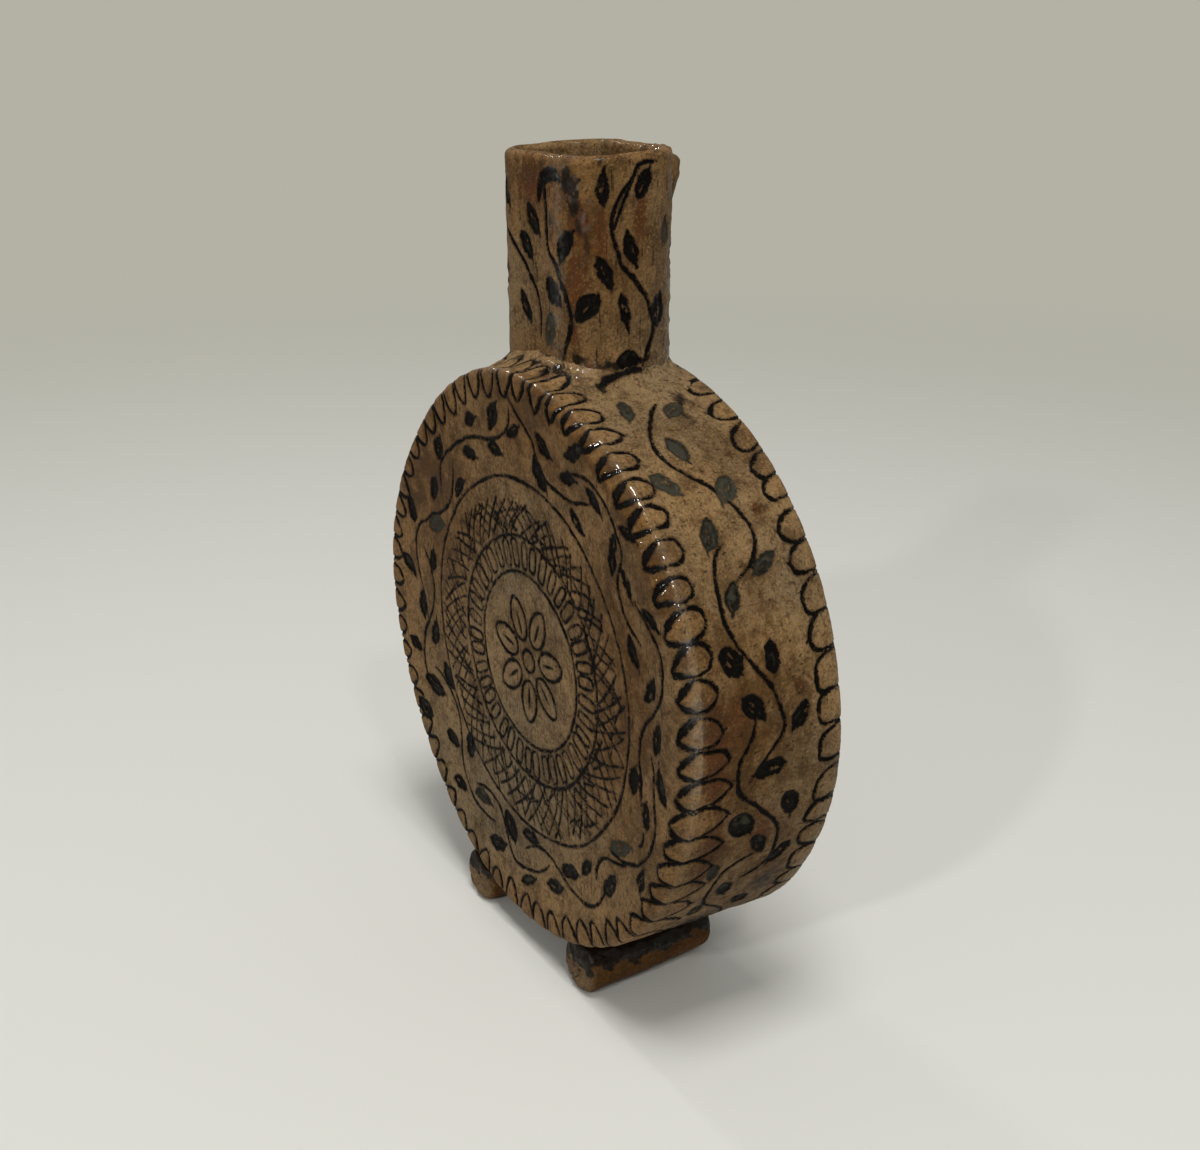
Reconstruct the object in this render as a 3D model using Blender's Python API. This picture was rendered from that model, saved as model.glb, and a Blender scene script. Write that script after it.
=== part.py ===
"""Slab-built stoneware flask vase: two round face slabs, a side strip, a neck and two rolled feet.

The front face looks towards -Y, with +X at the viewer's right. +Z is up and the feet stand on z = 0.
Sizes are in metres. Each piece of clay is its own object. Pieces that were luted together keep a
hair-thin joint between them.
"""

import math

import bmesh
import bpy

# Round body
FACE_RADIUS = 0.0895       # mean radius of the front slab
BODY_DEPTH = 0.0522        # outside of the front face to outside of the back face
SLAB_WALL = 0.0055         # thickness of both face slabs
STRIP_WALL = 0.0055        # thickness of the side strip
BEVEL_WIDTH = 0.0008       # least width of the bevel between the outer edge and the face
FACE_RIM = 0.0042          # raised flat band just inside the bevel
DISH_SLOPE = 0.0110        # width of the slope that leads from the band down into the dish
FACE_DISH = 0.0009         # how deep the middle of each face is dished
JOINT_GAP = 0.0003         # luted joint between two pieces

BACK_RADIUS_SHARE = 0.9989 # mean radius of the back slab, as a share of the front slab's

# The slabs were cut by hand. Waves in one turn, their height as a share of the radius, angle of a crest
FRONT_WAVE_SHARES = ((2, 0.0117, 61.0), (3, 0.0088, 43.0), (4, 0.0038, 2.0), (5, 0.0097, 32.0))
BACK_WAVE_SHARES = ((1, 0.0136, -56.0), (2, 0.0055, -47.0), (3, 0.0023, -52.0), (4, 0.0045, -2.0),
                    (5, 0.0028, 34.0))

# The outer edge lies behind the face by a share of the slab's wall. At the front's right it was beaten
# further back
EDGE_DROP_SHARE = 0.18
BEATEN_DROP_SHARE = 0.57
BEATEN_ANGLE = 20.0        # degrees
BEATEN_SPREAD = 66.0       # degrees to each side
BEVEL_DROP_SHARE = 0.70    # the bevel widens by this share of the drop
# Shares of the bevel's width and of the drop, from the outer edge inwards
BEVEL_SHARES = ((0.0, 1.07), (0.05, 0.90), (0.30, 0.59), (0.65, 0.21), (1.0, 0.0))

# Rings engraved in each face: across and up from the middle, and radius, as shares of the body's radius
ENGRAVED_RING_SHARES = ((0.038, 0.014, 0.639), (0.058, 0.021, 0.437), (0.054, 0.023, 0.313))
ENGRAVED_WIDTH = 0.0012
ENGRAVED_DEPTH = 0.0004

# Neck
NECK_WIDTH = 0.0515        # across X
NECK_DEPTH = 0.0350        # across Y
NECK_CORNER = 0.0125       # outside corner radius in plan
NECK_WALL = 0.0045
NECK_X = -0.0084           # middle of the neck, off the middle of the body
NECK_Y = 0.0045
NECK_RISE = 0.0608         # mean height of the rim over the crown of a true circle
NECK_FLARE = 0.0003        # the rim stands out this much from the neck's waist
RIM_TILT_BACK = 0.0007     # the rim is this much higher at the back, and lower at the front, than its mean
RIM_TILT_RIGHT = 0.0004    # and this much higher at the right, and lower at the left
WAIST_SHARE = 0.55         # how far up the neck its waist is
WAIST_TILT_SHARE = 0.30    # share of the rim's tilt that has already come in at the waist

# Clay coil smoothed out round the foot of the neck
COLLAR_HEIGHT = 0.0050     # up the neck
COLLAR_FRONT = 0.0105      # reach over the body in front of the neck
COLLAR_BACK = 0.0015
COLLAR_SIDE = 0.0100
COLLAR_LIP = 0.0007        # thickness left at its thin outer edge
# Shares of the reach and of the height along its hollow curve
COLLAR_CURVE_SHARES = ((0.0, 1.0), (0.10, 0.76), (0.28, 0.54), (0.52, 0.34), (0.78, 0.15), (1.0, 0.0))

# Lap of clay at the back right corner of the neck, where the rolled slab closes on itself
LAP_HEIGHT = 0.0135
LAP_WIDTH = 0.0115
LAP_PROUD = 0.0023         # how far it stands off the neck's wall
LAP_IN = 0.0095            # how far its middle is in from the neck's right side
LAP_THIN_SHARE = 0.35      # its width where it has thinned out, as a share of its full width
# Shares of the height and of the full thickness, from the lower end up
LAP_SHARES = ((0.0, 0.06), (0.12, 0.30), (0.35, 0.58), (0.60, 0.86), (0.76, 1.0), (0.88, 0.92),
              (0.96, 0.66), (1.0, 0.30))

# Coil worked into the inside corner of the front slab and the strip
SEAM_COIL_LEG = 0.0050
# Shares of the leg, inwards over the slab and back along the strip
SEAM_COIL_SHARES = ((0.0, 0.0), (1.0, 0.0), (0.92, 0.12), (0.40, 0.40), (0.12, 0.92), (0.0, 1.0))

# Feet: rolls of clay that lie front to back under the body, a little thinner towards the back
FOOT_RADIUS = 0.0093       # at the front end
FOOT_LENGTH = 0.0495
# Shares of the length from the front, and of the radius left there
FOOT_TAPER_SHARES = ((0.0, 1.0), (0.70, 0.93), (1.0, 0.84))
FOOT_END_ROUND = 0.0036
FOOT_FLAT = 0.0008         # depth pressed flat where it stands
RIGHT_FOOT_SHARE = 0.3444  # how far right of the middle it lies, as a share of the body's radius
RIGHT_FOOT_Y = -0.0007     # middle of the roll, front to back
RIGHT_FOOT_BITE = 0.0019   # depth of the hollow that the body presses into the roll
LEFT_FOOT_Y = -0.0026
LEFT_FOOT_BITE = 0.0023

OVERRUN = 0.0100           # how far cutters run past what they cut

# Mesh steps
BODY_STEPS = 96
CORNER_STEPS = 7
ROLL_STEPS = 24
ROUND_STEPS = 3
LAP_STEPS = 16


def wave_sum(wave_shares, angle):
    """Height of hand-cut waves at an angle, as a share of the radius."""
    total = 0.0
    for count, share, crest in wave_shares:
        total += share * math.cos(count * (angle - math.radians(crest)))
    return total


def outline_radius(angle, back_share):
    """Outside radius of the body at an angle, from the front face (share 0) to the back face (share 1)."""
    front = FACE_RADIUS * (1 + wave_sum(FRONT_WAVE_SHARES, angle))
    back = FACE_RADIUS * BACK_RADIUS_SHARE * (1 + wave_sum(BACK_WAVE_SHARES, angle))
    return front + (back - front) * min(1.0, max(0.0, back_share))


def share_at(y):
    """How far back y lies in the body's depth: 0 at the front face, 1 at the back face."""
    return y / BODY_DEPTH + 0.5


def hang_of_foot(x, bite):
    """How far below the body's centre the axis of a foot at x lies, where the body bites this deep."""
    drop = FACE_RADIUS
    for _ in range(20):
        reach = outline_radius(math.atan2(-drop, x), 0.5) + FOOT_RADIUS - bite
        drop = math.sqrt(reach ** 2 - x ** 2)
    return drop


def level_foot_x(drop, bite):
    """The place left of the middle where a second foot hangs as low as the first, found by halving."""
    near = 0.0
    far = -FACE_RADIUS * math.sin(math.radians(60))
    for _ in range(40):
        middle = (near + far) / 2
        if hang_of_foot(middle, bite) > drop:
            near = middle
        else:
            far = middle
    return (near + far) / 2


RIGHT_FOOT_X = FACE_RADIUS * RIGHT_FOOT_SHARE
FOOT_DROP = hang_of_foot(RIGHT_FOOT_X, RIGHT_FOOT_BITE)
LEFT_FOOT_X = level_foot_x(FOOT_DROP, LEFT_FOOT_BITE)
FOOT_AXIS_Z = FOOT_RADIUS - FOOT_FLAT
CENTRE_Z = FOOT_AXIS_Z + FOOT_DROP
RIM_Z = CENTRE_Z + FACE_RADIUS + NECK_RISE
LIP_RADIUS = NECK_WALL / 2
SHOULDER_Z = RIM_Z - LIP_RADIUS
NECK_LEFT = NECK_X - NECK_WIDTH / 2
NECK_RIGHT = NECK_X + NECK_WIDTH / 2
NECK_FRONT = NECK_Y - NECK_DEPTH / 2
NECK_BACK = NECK_Y + NECK_DEPTH / 2


def crown_angle(x, back_share):
    """Angle of the point on the upper outline that lies over x."""
    angle = math.pi / 2
    for _ in range(8):
        angle = math.acos(x / outline_radius(angle, back_share))
    return angle


def crown_z(x, y):
    """Height of the body's outside over the plan point (x, y)."""
    back_share = share_at(y)
    angle = crown_angle(x, back_share)
    return CENTRE_Z + outline_radius(angle, back_share) * math.sin(angle)


def neck_foot_z():
    """Lowest level of the uncut neck: under the body's skin at the side that is further from the crown."""
    return crown_z(max(NECK_RIGHT, -NECK_LEFT), 0.0) - STRIP_WALL


def body_ring(inset, y, back_share):
    """Closed ring of points at y that follows the body's outline, this far inside it."""
    ring = []
    for step in range(BODY_STEPS):
        angle = 2 * math.pi * step / BODY_STEPS
        radius = outline_radius(angle, back_share) - inset
        ring.append((radius * math.cos(angle), y, CENTRE_Z + radius * math.sin(angle)))
    return ring


def edge_drop(angle, side):
    """How far behind the face's plane the outer edge lies at an angle. side is -1 at the front."""
    drop = SLAB_WALL * EDGE_DROP_SHARE
    away = (math.degrees(angle) - BEATEN_ANGLE + 180) % 360 - 180
    if side < 0 and abs(away) < BEATEN_SPREAD:
        drop += SLAB_WALL * BEATEN_DROP_SHARE * (1 - (away / BEATEN_SPREAD) ** 4)
    return drop


def bevel_width(angle, side):
    """Width of the bevel between the outer edge and the face."""
    return BEVEL_WIDTH + BEVEL_DROP_SHARE * edge_drop(angle, side)


def bevel_ring(side, width_share, drop_share, more_inset=0.0, depth=0.0):
    """Ring on the bevel at shares of its width and drop, or further in and deeper on the face inside it."""
    ring = []
    for step in range(BODY_STEPS):
        angle = 2 * math.pi * step / BODY_STEPS
        y = side * (BODY_DEPTH / 2 - depth - edge_drop(angle, side) * drop_share)
        radius = outline_radius(angle, share_at(y)) - bevel_width(angle, side) * width_share - more_inset
        ring.append((radius * math.cos(angle), y, CENTRE_Z + radius * math.sin(angle)))
    return ring


def circle_ring(across, up, radius, y):
    """Closed ring of points at y on a circle whose middle lies off the body's middle."""
    ring = []
    for step in range(BODY_STEPS):
        angle = 2 * math.pi * step / BODY_STEPS
        ring.append((across + radius * math.cos(angle), y, CENTRE_Z + up + radius * math.sin(angle)))
    return ring


def rounded_box(left, right, front, back, radius):
    """Plan points of a rectangle with rounded corners."""
    points = []
    for quarter in range(4):
        centre_x = right - radius if quarter in (0, 3) else left + radius
        centre_y = back - radius if quarter in (0, 1) else front + radius
        for step in range(CORNER_STEPS):
            angle = math.pi / 2 * (quarter + step / (CORNER_STEPS - 1))
            points.append((centre_x + radius * math.cos(angle), centre_y + radius * math.sin(angle)))
    return points


def neck_outline(grow):
    """Plan of the neck, larger all round by grow. Its corners never round past half of its narrow side."""
    limit = min(NECK_WIDTH, NECK_DEPTH) / 2 + grow
    radius = min(max(NECK_CORNER + grow, NECK_WALL / 4), limit)
    return rounded_box(NECK_LEFT - grow, NECK_RIGHT + grow, NECK_FRONT - grow, NECK_BACK + grow, radius)


def rim_lift(x, y):
    """How much higher the tilted rim is at a plan point than at the neck's middle."""
    right_share = (x - NECK_X) / (NECK_WIDTH / 2)
    back_share = (y - NECK_Y) / (NECK_DEPTH / 2)
    return RIM_TILT_RIGHT * right_share + RIM_TILT_BACK * back_share


def neck_ring(grow, z, tilt_share):
    """Ring round the neck, tilted by a share of the rim's own tilt."""
    return [(x, y, z + rim_lift(x, y) * tilt_share) for x, y in neck_outline(grow)]


def neck_side(extra):
    """The outside of the neck from its foot to its lip, as rings that are larger all round by extra."""
    foot_z = neck_foot_z()
    waist_z = foot_z + (SHOULDER_Z - foot_z) * WAIST_SHARE
    return [
        neck_ring(extra, foot_z, 0.0),
        neck_ring(extra, waist_z, WAIST_TILT_SHARE),
        neck_ring(extra + NECK_FLARE, SHOULDER_Z, 1.0),
    ]


def skin(rings, closed_loop=False):
    """Bridges equal rings of points one after the other. The ends are capped, or joined if closed_loop."""
    builder = bmesh.new()
    made = [[builder.verts.new(point) for point in ring] for ring in rings]
    pairs = list(zip(made, made[1:]))
    if closed_loop:
        pairs.append((made[-1], made[0]))
    for near, far in pairs:
        for i in range(len(near)):
            j = (i + 1) % len(near)
            builder.faces.new((near[i], near[j], far[j], far[i]))
    if not closed_loop:
        builder.faces.new(made[0])
        builder.faces.new(list(reversed(made[-1])))
    return builder


def finish(name, builder, colour, roughness):
    """Makes a bmesh into an object with its own fired clay, shaded smooth but for its real edges."""
    bmesh.ops.recalc_face_normals(builder, faces=builder.faces)
    mesh = bpy.data.meshes.new(name)
    builder.to_mesh(mesh)
    builder.free()
    mesh.shade_smooth()
    mesh.set_sharp_from_angle(angle=math.radians(50))
    obj = bpy.data.objects.new(name, mesh)
    bpy.context.scene.collection.objects.link(obj)
    material = bpy.data.materials.new(name + "_clay")
    material.use_nodes = True
    shader = material.node_tree.nodes["Principled BSDF"]
    shader.inputs["Base Color"].default_value = (*colour, 1.0)
    shader.inputs["Roughness"].default_value = roughness
    shader.inputs["Metallic"].default_value = 0.0
    material.diffuse_color = (*colour, 1.0)
    mesh.materials.append(material)
    return obj


def make_cutter(name, rings):
    """A closed solid that only cuts: drawn as wire, never rendered."""
    cutter = finish(name, skin(rings), (0.5, 0.5, 0.5), 0.5)
    cutter.display_type = "WIRE"
    cutter.hide_render = True
    return cutter


def cut(obj, cutter, label):
    """Cuts obj with a hidden cutter."""
    modifier = obj.modifiers.new(label, "BOOLEAN")
    modifier.operation = "DIFFERENCE"
    modifier.solver = "EXACT"
    modifier.object = cutter


def body_cutter():
    """The whole body grown by one joint, and longer than the body is deep."""
    half = BODY_DEPTH / 2
    return make_cutter("body_cutter", [
        body_ring(-JOINT_GAP, -half - OVERRUN, 0.0),
        body_ring(-JOINT_GAP, -half, 0.0),
        body_ring(-JOINT_GAP, half, 1.0),
        body_ring(-JOINT_GAP, half + OVERRUN, 1.0),
    ])


def face_slab(name, side, colour, roughness):
    """A round slab: bevelled edge, raised band, dish with engraved rings. side is -1 at the front."""
    joint_y = side * (BODY_DEPTH / 2 - SLAB_WALL)
    rings = [body_ring(0.0, joint_y, share_at(joint_y))]
    for width_share, drop_share in BEVEL_SHARES:
        rings.append(bevel_ring(side, width_share, drop_share))
    rings.append(bevel_ring(side, 1.0, 0.0, FACE_RIM))
    rings.append(bevel_ring(side, 1.0, 0.0, FACE_RIM + DISH_SLOPE, FACE_DISH))
    dish_y = side * (BODY_DEPTH / 2 - FACE_DISH)
    for across_share, up_share, radius_share in ENGRAVED_RING_SHARES:
        across = FACE_RADIUS * across_share
        up = FACE_RADIUS * up_share
        radius = FACE_RADIUS * radius_share
        rings.append(circle_ring(across, up, radius + ENGRAVED_WIDTH / 2, dish_y))
        rings.append(circle_ring(across, up, radius, dish_y - side * ENGRAVED_DEPTH))
        rings.append(circle_ring(across, up, radius - ENGRAVED_WIDTH / 2, dish_y))
    return finish(name, skin(rings), colour, roughness)


def strip_section(angle):
    """The four corners of the side strip's section at an angle."""
    corners = []
    half = BODY_DEPTH / 2 - SLAB_WALL - JOINT_GAP
    for y, inset in ((-half, 0.0), (half, 0.0), (half, STRIP_WALL), (-half, STRIP_WALL)):
        radius = outline_radius(angle, share_at(y)) - inset
        corners.append((radius * math.cos(angle), y, CENTRE_Z + radius * math.sin(angle)))
    return corners


def side_strip(colour, roughness):
    """One long strip bent round between the slabs. Its ends meet under the neck, where the bore is cut."""
    seam = crown_angle(NECK_X, 0.5)
    half_gap = JOINT_GAP / 2 / FACE_RADIUS
    span = 2 * (math.pi - half_gap)
    sections = [strip_section(seam + half_gap + span * step / BODY_STEPS) for step in range(BODY_STEPS + 1)]
    strip = finish("side_strip", skin(sections), colour, roughness)
    bore = neck_outline(-NECK_WALL)
    bottom = neck_foot_z() - OVERRUN
    top = CENTRE_Z + FACE_RADIUS + OVERRUN
    bore_rings = [[(x, y, z) for x, y in bore] for z in (bottom, top)]
    cut(strip, make_cutter("neck_hole_cutter", bore_rings), "neck hole")
    return strip


def neck_tube(colour, roughness, body):
    """A slab rolled into a rounded oblong tube with a rounded lip, cut to sit on the body's curve."""
    rings = neck_side(0.0)
    for step in range(1, 2 * ROUND_STEPS + 1):
        turn = math.pi * step / (2 * ROUND_STEPS)
        grow = NECK_FLARE - LIP_RADIUS + LIP_RADIUS * math.cos(turn)
        rings.append(neck_ring(grow, SHOULDER_Z + LIP_RADIUS * math.sin(turn), 1.0))
    rings.append(neck_ring(-NECK_WALL, neck_foot_z(), 0.0))
    tube = finish("neck_tube", skin(rings, closed_loop=True), colour, roughness)
    cut(tube, body, "seat on the body")
    return tube


def collar_ring(reach_share, height_share, lift):
    """Ring round the foot of the neck, this share of the way over the body and of the way up the neck."""
    inner = neck_outline(JOINT_GAP)
    outer = rounded_box(NECK_LEFT - COLLAR_SIDE, NECK_RIGHT + COLLAR_SIDE,
                        NECK_FRONT - COLLAR_FRONT, NECK_BACK + COLLAR_BACK, NECK_CORNER)
    ring = []
    for (inner_x, inner_y), (outer_x, outer_y) in zip(inner, outer):
        x = inner_x + (outer_x - inner_x) * reach_share
        y = inner_y + (outer_y - inner_y) * reach_share
        ring.append((x, y, crown_z(x, y) + COLLAR_HEIGHT * height_share + lift))
    return ring


def neck_collar(colour, roughness, body):
    """A coil of clay smoothed into a hollow fillet round the foot of the neck."""
    rings = [collar_ring(0.0, 0.0, -STRIP_WALL)]
    for reach_share, height_share in COLLAR_CURVE_SHARES:
        rings.append(collar_ring(reach_share, height_share, COLLAR_LIP))
    rings.append(collar_ring(1.0, 0.0, -STRIP_WALL))
    collar = finish("neck_collar", skin(rings, closed_loop=True), colour, roughness)
    cut(collar, body, "seat on the body")
    return collar


def neck_lap(colour, roughness):
    """A rounded lap of clay that runs down from the rim at the back right corner and thins out."""
    x_middle = NECK_RIGHT - LAP_IN
    top = SHOULDER_Z + rim_lift(x_middle, NECK_BACK)
    rings = []
    for height_share, size_share in LAP_SHARES:
        z = top - LAP_HEIGHT * (1 - height_share)
        half_width = LAP_WIDTH / 2 * (LAP_THIN_SHARE + (1 - LAP_THIN_SHARE) * size_share)
        ring = []
        for step in range(LAP_STEPS):
            angle = 2 * math.pi * step / LAP_STEPS
            reach = LAP_PROUD * size_share + NECK_FLARE if math.sin(angle) > 0 else NECK_WALL
            ring.append((x_middle + half_width * math.cos(angle), NECK_BACK + reach * math.sin(angle), z))
        rings.append(ring)
    lap = finish("neck_lap", skin(rings), colour, roughness)
    plug = neck_side(JOINT_GAP)
    plug.append(neck_ring(JOINT_GAP + NECK_FLARE, RIM_Z + OVERRUN, 1.0))
    cut(lap, make_cutter("neck_cutter", plug), "lie against the neck")
    return lap


def seam_coil(colour, roughness):
    """A thin coil pressed into the inside corner between the front slab and the strip."""
    y_slab = -BODY_DEPTH / 2 + SLAB_WALL + JOINT_GAP
    inset_strip = STRIP_WALL + JOINT_GAP
    rings = []
    for inward, along in SEAM_COIL_SHARES:
        y = y_slab + SEAM_COIL_LEG * along
        rings.append(body_ring(inset_strip + SEAM_COIL_LEG * inward, y, share_at(y)))
    return finish("inner_seam_coil", skin(rings, closed_loop=True), colour, roughness)


def foot_ring(x, y, radius):
    """Ring of a roll, pressed flat where it would reach below the ground."""
    ring = []
    for step in range(ROLL_STEPS):
        angle = 2 * math.pi * step / ROLL_STEPS
        z = FOOT_AXIS_Z + radius * math.sin(angle)
        ring.append((x + radius * math.cos(angle), y, max(z, 0.0)))
    return ring


def foot(name, x, y_middle, colour, roughness, body):
    """A roll of clay with softened ends, flat underneath and hollowed on top where the body sits."""
    turns = [math.pi / 2 * step / ROUND_STEPS for step in range(ROUND_STEPS + 1)]
    end_rounds = []
    for turn in turns:
        end_rounds.append((FOOT_END_ROUND * (1 - math.cos(turn)), FOOT_END_ROUND * (1 - math.sin(turn))))
    length = FOOT_LENGTH - 2 * FOOT_END_ROUND
    front = y_middle - length / 2
    rings = []
    for in_from_end, less_radius in end_rounds:
        rings.append(foot_ring(x, front - FOOT_END_ROUND + in_from_end, FOOT_RADIUS - less_radius))
    for length_share, radius_share in FOOT_TAPER_SHARES[1:]:
        rings.append(foot_ring(x, front + length * length_share, FOOT_RADIUS * radius_share))
    back_radius = FOOT_RADIUS * FOOT_TAPER_SHARES[-1][1]
    for in_from_end, less_radius in reversed(end_rounds[:-1]):
        rings.append(foot_ring(x, front + length + FOOT_END_ROUND - in_from_end, back_radius - less_radius))
    roll = finish(name, skin(rings), colour, roughness)
    cut(roll, body, "cradle of the body")
    return roll


def main():
    for obj in list(bpy.data.objects):
        bpy.data.objects.remove(obj)
    body = body_cutter()
    face_slab("front_slab", -1, (0.205, 0.135, 0.083), 0.52)
    face_slab("back_slab", 1, (0.205, 0.135, 0.083), 0.52)
    side_strip((0.260, 0.165, 0.092), 0.45)
    seam_coil((0.300, 0.200, 0.130), 0.80)
    neck_tube((0.250, 0.155, 0.088), 0.40, body)
    neck_collar((0.240, 0.150, 0.085), 0.40, body)
    neck_lap((0.230, 0.140, 0.080), 0.45)
    foot("left_foot", LEFT_FOOT_X, LEFT_FOOT_Y, (0.150, 0.088, 0.048), 0.60, body)
    foot("right_foot", RIGHT_FOOT_X, RIGHT_FOOT_Y, (0.150, 0.088, 0.048), 0.60, body)


main()
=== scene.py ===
# The looks of a slab-built flask vase: engraved round body, oblong neck, two rolled feet.
# Lengths are in millimetres, and makePiece turns them into metres.

import math
import bpy
import numpy as np
from mathutils import Matrix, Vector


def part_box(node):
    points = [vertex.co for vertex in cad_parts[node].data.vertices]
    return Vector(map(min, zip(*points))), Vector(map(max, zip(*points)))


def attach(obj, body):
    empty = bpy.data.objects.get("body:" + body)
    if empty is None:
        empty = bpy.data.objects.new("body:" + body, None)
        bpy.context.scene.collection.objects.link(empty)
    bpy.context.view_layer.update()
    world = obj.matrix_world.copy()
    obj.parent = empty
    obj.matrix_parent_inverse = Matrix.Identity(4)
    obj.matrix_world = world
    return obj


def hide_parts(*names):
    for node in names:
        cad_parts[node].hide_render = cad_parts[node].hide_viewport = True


print("frame: loading the solids")
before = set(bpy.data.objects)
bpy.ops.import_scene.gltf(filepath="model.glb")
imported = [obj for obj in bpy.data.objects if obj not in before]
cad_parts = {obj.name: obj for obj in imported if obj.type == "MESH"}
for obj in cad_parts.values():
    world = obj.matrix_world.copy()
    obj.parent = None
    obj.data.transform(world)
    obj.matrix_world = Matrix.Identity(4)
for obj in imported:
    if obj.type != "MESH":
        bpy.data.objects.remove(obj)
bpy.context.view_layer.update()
fullTurn = 2 * math.pi
sharpAngle = 58     # degrees: an edge that bends more is shaded sharp
farInk = 3.0        # what clear clay has in the ink field
inkReach = 2.5      # how far from a stroke its distance is worked out


def smooth(value, low, high):
    # 0 below low, 1 above high, and 3t^2 - 2t^3 between them
    t = np.clip((value - low) / (high - low), 0, 1)
    return t * t * (3 - 2 * t)


def wobble(places, size, seed, waves=8):
    # unevenness from about -1 to 1: the sum of plane sine waves of random direction, about size long
    pick = np.random.default_rng(seed)
    directions = pick.normal(size=(waves, places.shape[-1]))
    directions /= np.linalg.norm(directions, axis=1, keepdims=True)
    directions *= fullTurn / (size * pick.uniform(0.7, 1.6, waves))[:, None]
    return np.sin(places @ directions.T + pick.uniform(0, fullTurn, waves)).sum(-1) / (waves / 2)


def wobbles(places, waves, seed):
    # a sum of height * wobble, for each height and size
    return sum(height * wobble(places, size, seed + number) for number, (height, size) in enumerate(waves))


def signedTurn(turn, whole=360):
    # the same turn, between minus and plus half of a whole one
    return (turn + whole / 2) % whole - whole / 2


def placesOf(*parts):
    # one row for each point, from grids of its coordinates
    return np.stack(np.broadcast_arrays(*parts), -1).reshape(-1, len(parts))


def wheelPlaces(radius, angle, y, middleZ=0):
    # places by radius and angle round the y axis
    return placesOf(radius * np.cos(angle), y, radius * np.sin(angle) + middleZ)


def gridQuads(rows, columns, around=True, closed=False):
    # the four corners of each cell of a grid numbered row by row. around joins the last column to the first, and
    # closed joins the last row to the first
    row, column = np.meshgrid(np.arange(rows - (not closed)), np.arange(columns - (not around)), indexing="ij")
    below, after = (row + 1) % rows, (column + 1) % columns
    corners = (row * columns + column, row * columns + after, below * columns + after, below * columns + column)
    return np.stack([corner.ravel() for corner in corners], 1)


def endCaps(rows, columns):
    # the first and the last row of such a grid, as two faces
    line = np.arange(columns)
    return [line[::-1], (rows - 1) * columns + line]


def addObject(name, data):
    # puts a mesh, a lamp or a camera into the scene
    made = bpy.data.objects.new(name, data)
    bpy.context.scene.collection.objects.link(made)
    return made


def makePiece(node, points, quads, caps, fields, paint):
    # a closed mesh with its faces turned outwards, told by the sign of the volume under them
    cells = points[quads]
    volume = (np.cross(cells[:, 1] - cells[:, 0], cells[:, 2] - cells[:, 0]) * cells[:, 0]).sum()
    for cap in caps:
        fan = points[cap]
        volume += (np.cross(fan[1:-1] - fan[0], fan[2:] - fan[0]) * fan[0]).sum() / 2
    if volume < 0:
        quads, caps = quads[:, ::-1], [cap[::-1] for cap in caps]
    corners = np.concatenate([quads.ravel(), *caps]).astype(np.int32)
    sizes = np.concatenate([np.full(len(quads), 4), [len(cap) for cap in caps]]).astype(np.int32)
    mesh = bpy.data.meshes.new(node)
    mesh.vertices.add(len(points))
    mesh.vertices.foreach_set("co", (points / 1000).astype(np.float32).ravel())
    mesh.loops.add(len(corners))
    mesh.loops.foreach_set("vertex_index", corners)
    mesh.polygons.add(len(sizes))
    mesh.polygons.foreach_set("loop_start", np.concatenate([[0], np.cumsum(sizes)[:-1]]).astype(np.int32))
    mesh.update(calc_edges=True)
    mesh.shade_smooth()
    mesh.set_sharp_from_angle(angle=math.radians(sharpAngle))
    for field, values in fields.items():
        mesh.attributes.new(field, "FLOAT", "POINT").data.foreach_set("value", values.astype(np.float32))
    mesh.materials.append(paint)
    piece = addObject(node, mesh)
    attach(piece, "root")
    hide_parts(node)
    print("  %s: %d points, %d triangles" % (node, len(points), (sizes - 2).sum()))


body = dict(
    radius=89.5, backRadiusShare=0.9989, depth=52.2, slabWall=5.5, stripWall=5.5, rim=4.2, slope=11.0, dish=0.9,
    # waves of the hand-cut outline in one turn, their height as a share of the radius, angle of a crest
    frontWaves=((2, 0.0117, 61), (3, 0.0088, 43), (4, 0.0038, 2), (5, 0.0097, 32)),
    backWaves=((1, 0.0136, -56), (2, 0.0055, -47), (3, 0.0023, -52), (4, 0.0045, -2), (5, 0.0028, 34)),
    # the outer edge lies behind the face by shares of the wall, and was beaten further back at the front's right
    dropShare=0.18, beatenShare=0.57, beatenAngle=20.0, beatenSpread=66.0,
    bevelWidth=0.8, bevelShare=0.70, bevelPower=1.25, creaseRound=0.50,
    skin=0.10,       # the clay lies this far inside the solid
    joint=0.30,      # joint between the solids of slab and strip
    slit=0.02,       # what is left of that joint here
    cells=260,       # cells across a face
    bevelRows=12, creaseRows=6, sideRows=10, stripRows=83,
    backSpin=131,    # degrees that the back's drawing is turned from the front's
)

halfDepth = body["depth"] / 2
seamY = halfDepth - body["slabWall"] - body["joint"] / 2   # y of the joint between slab and strip
turnSteps = 4 * body["cells"]


def outlineRadius(angle, y):
    # radius * (1 + sum of share * cos(count * (angle - crest))) at the front and the back, mixed evenly between
    def ring(radius, waves):
        swing = sum(share * np.cos(count * (angle - math.radians(crest))) for count, share, crest in waves)
        return radius * (1 + swing)

    front = ring(body["radius"], body["frontWaves"])
    back = ring(body["radius"] * body["backRadiusShare"], body["backWaves"])
    return front + (back - front) * np.clip(y / body["depth"] + 0.5, 0, 1)


ringAngles = np.arange(turnSteps) * fullTurn / turnSteps
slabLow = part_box("front_slab")[0]
centreZ = slabLow.z * 1000 + (-outlineRadius(ringAngles, -halfDepth) * np.sin(ringAngles)).max()


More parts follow.
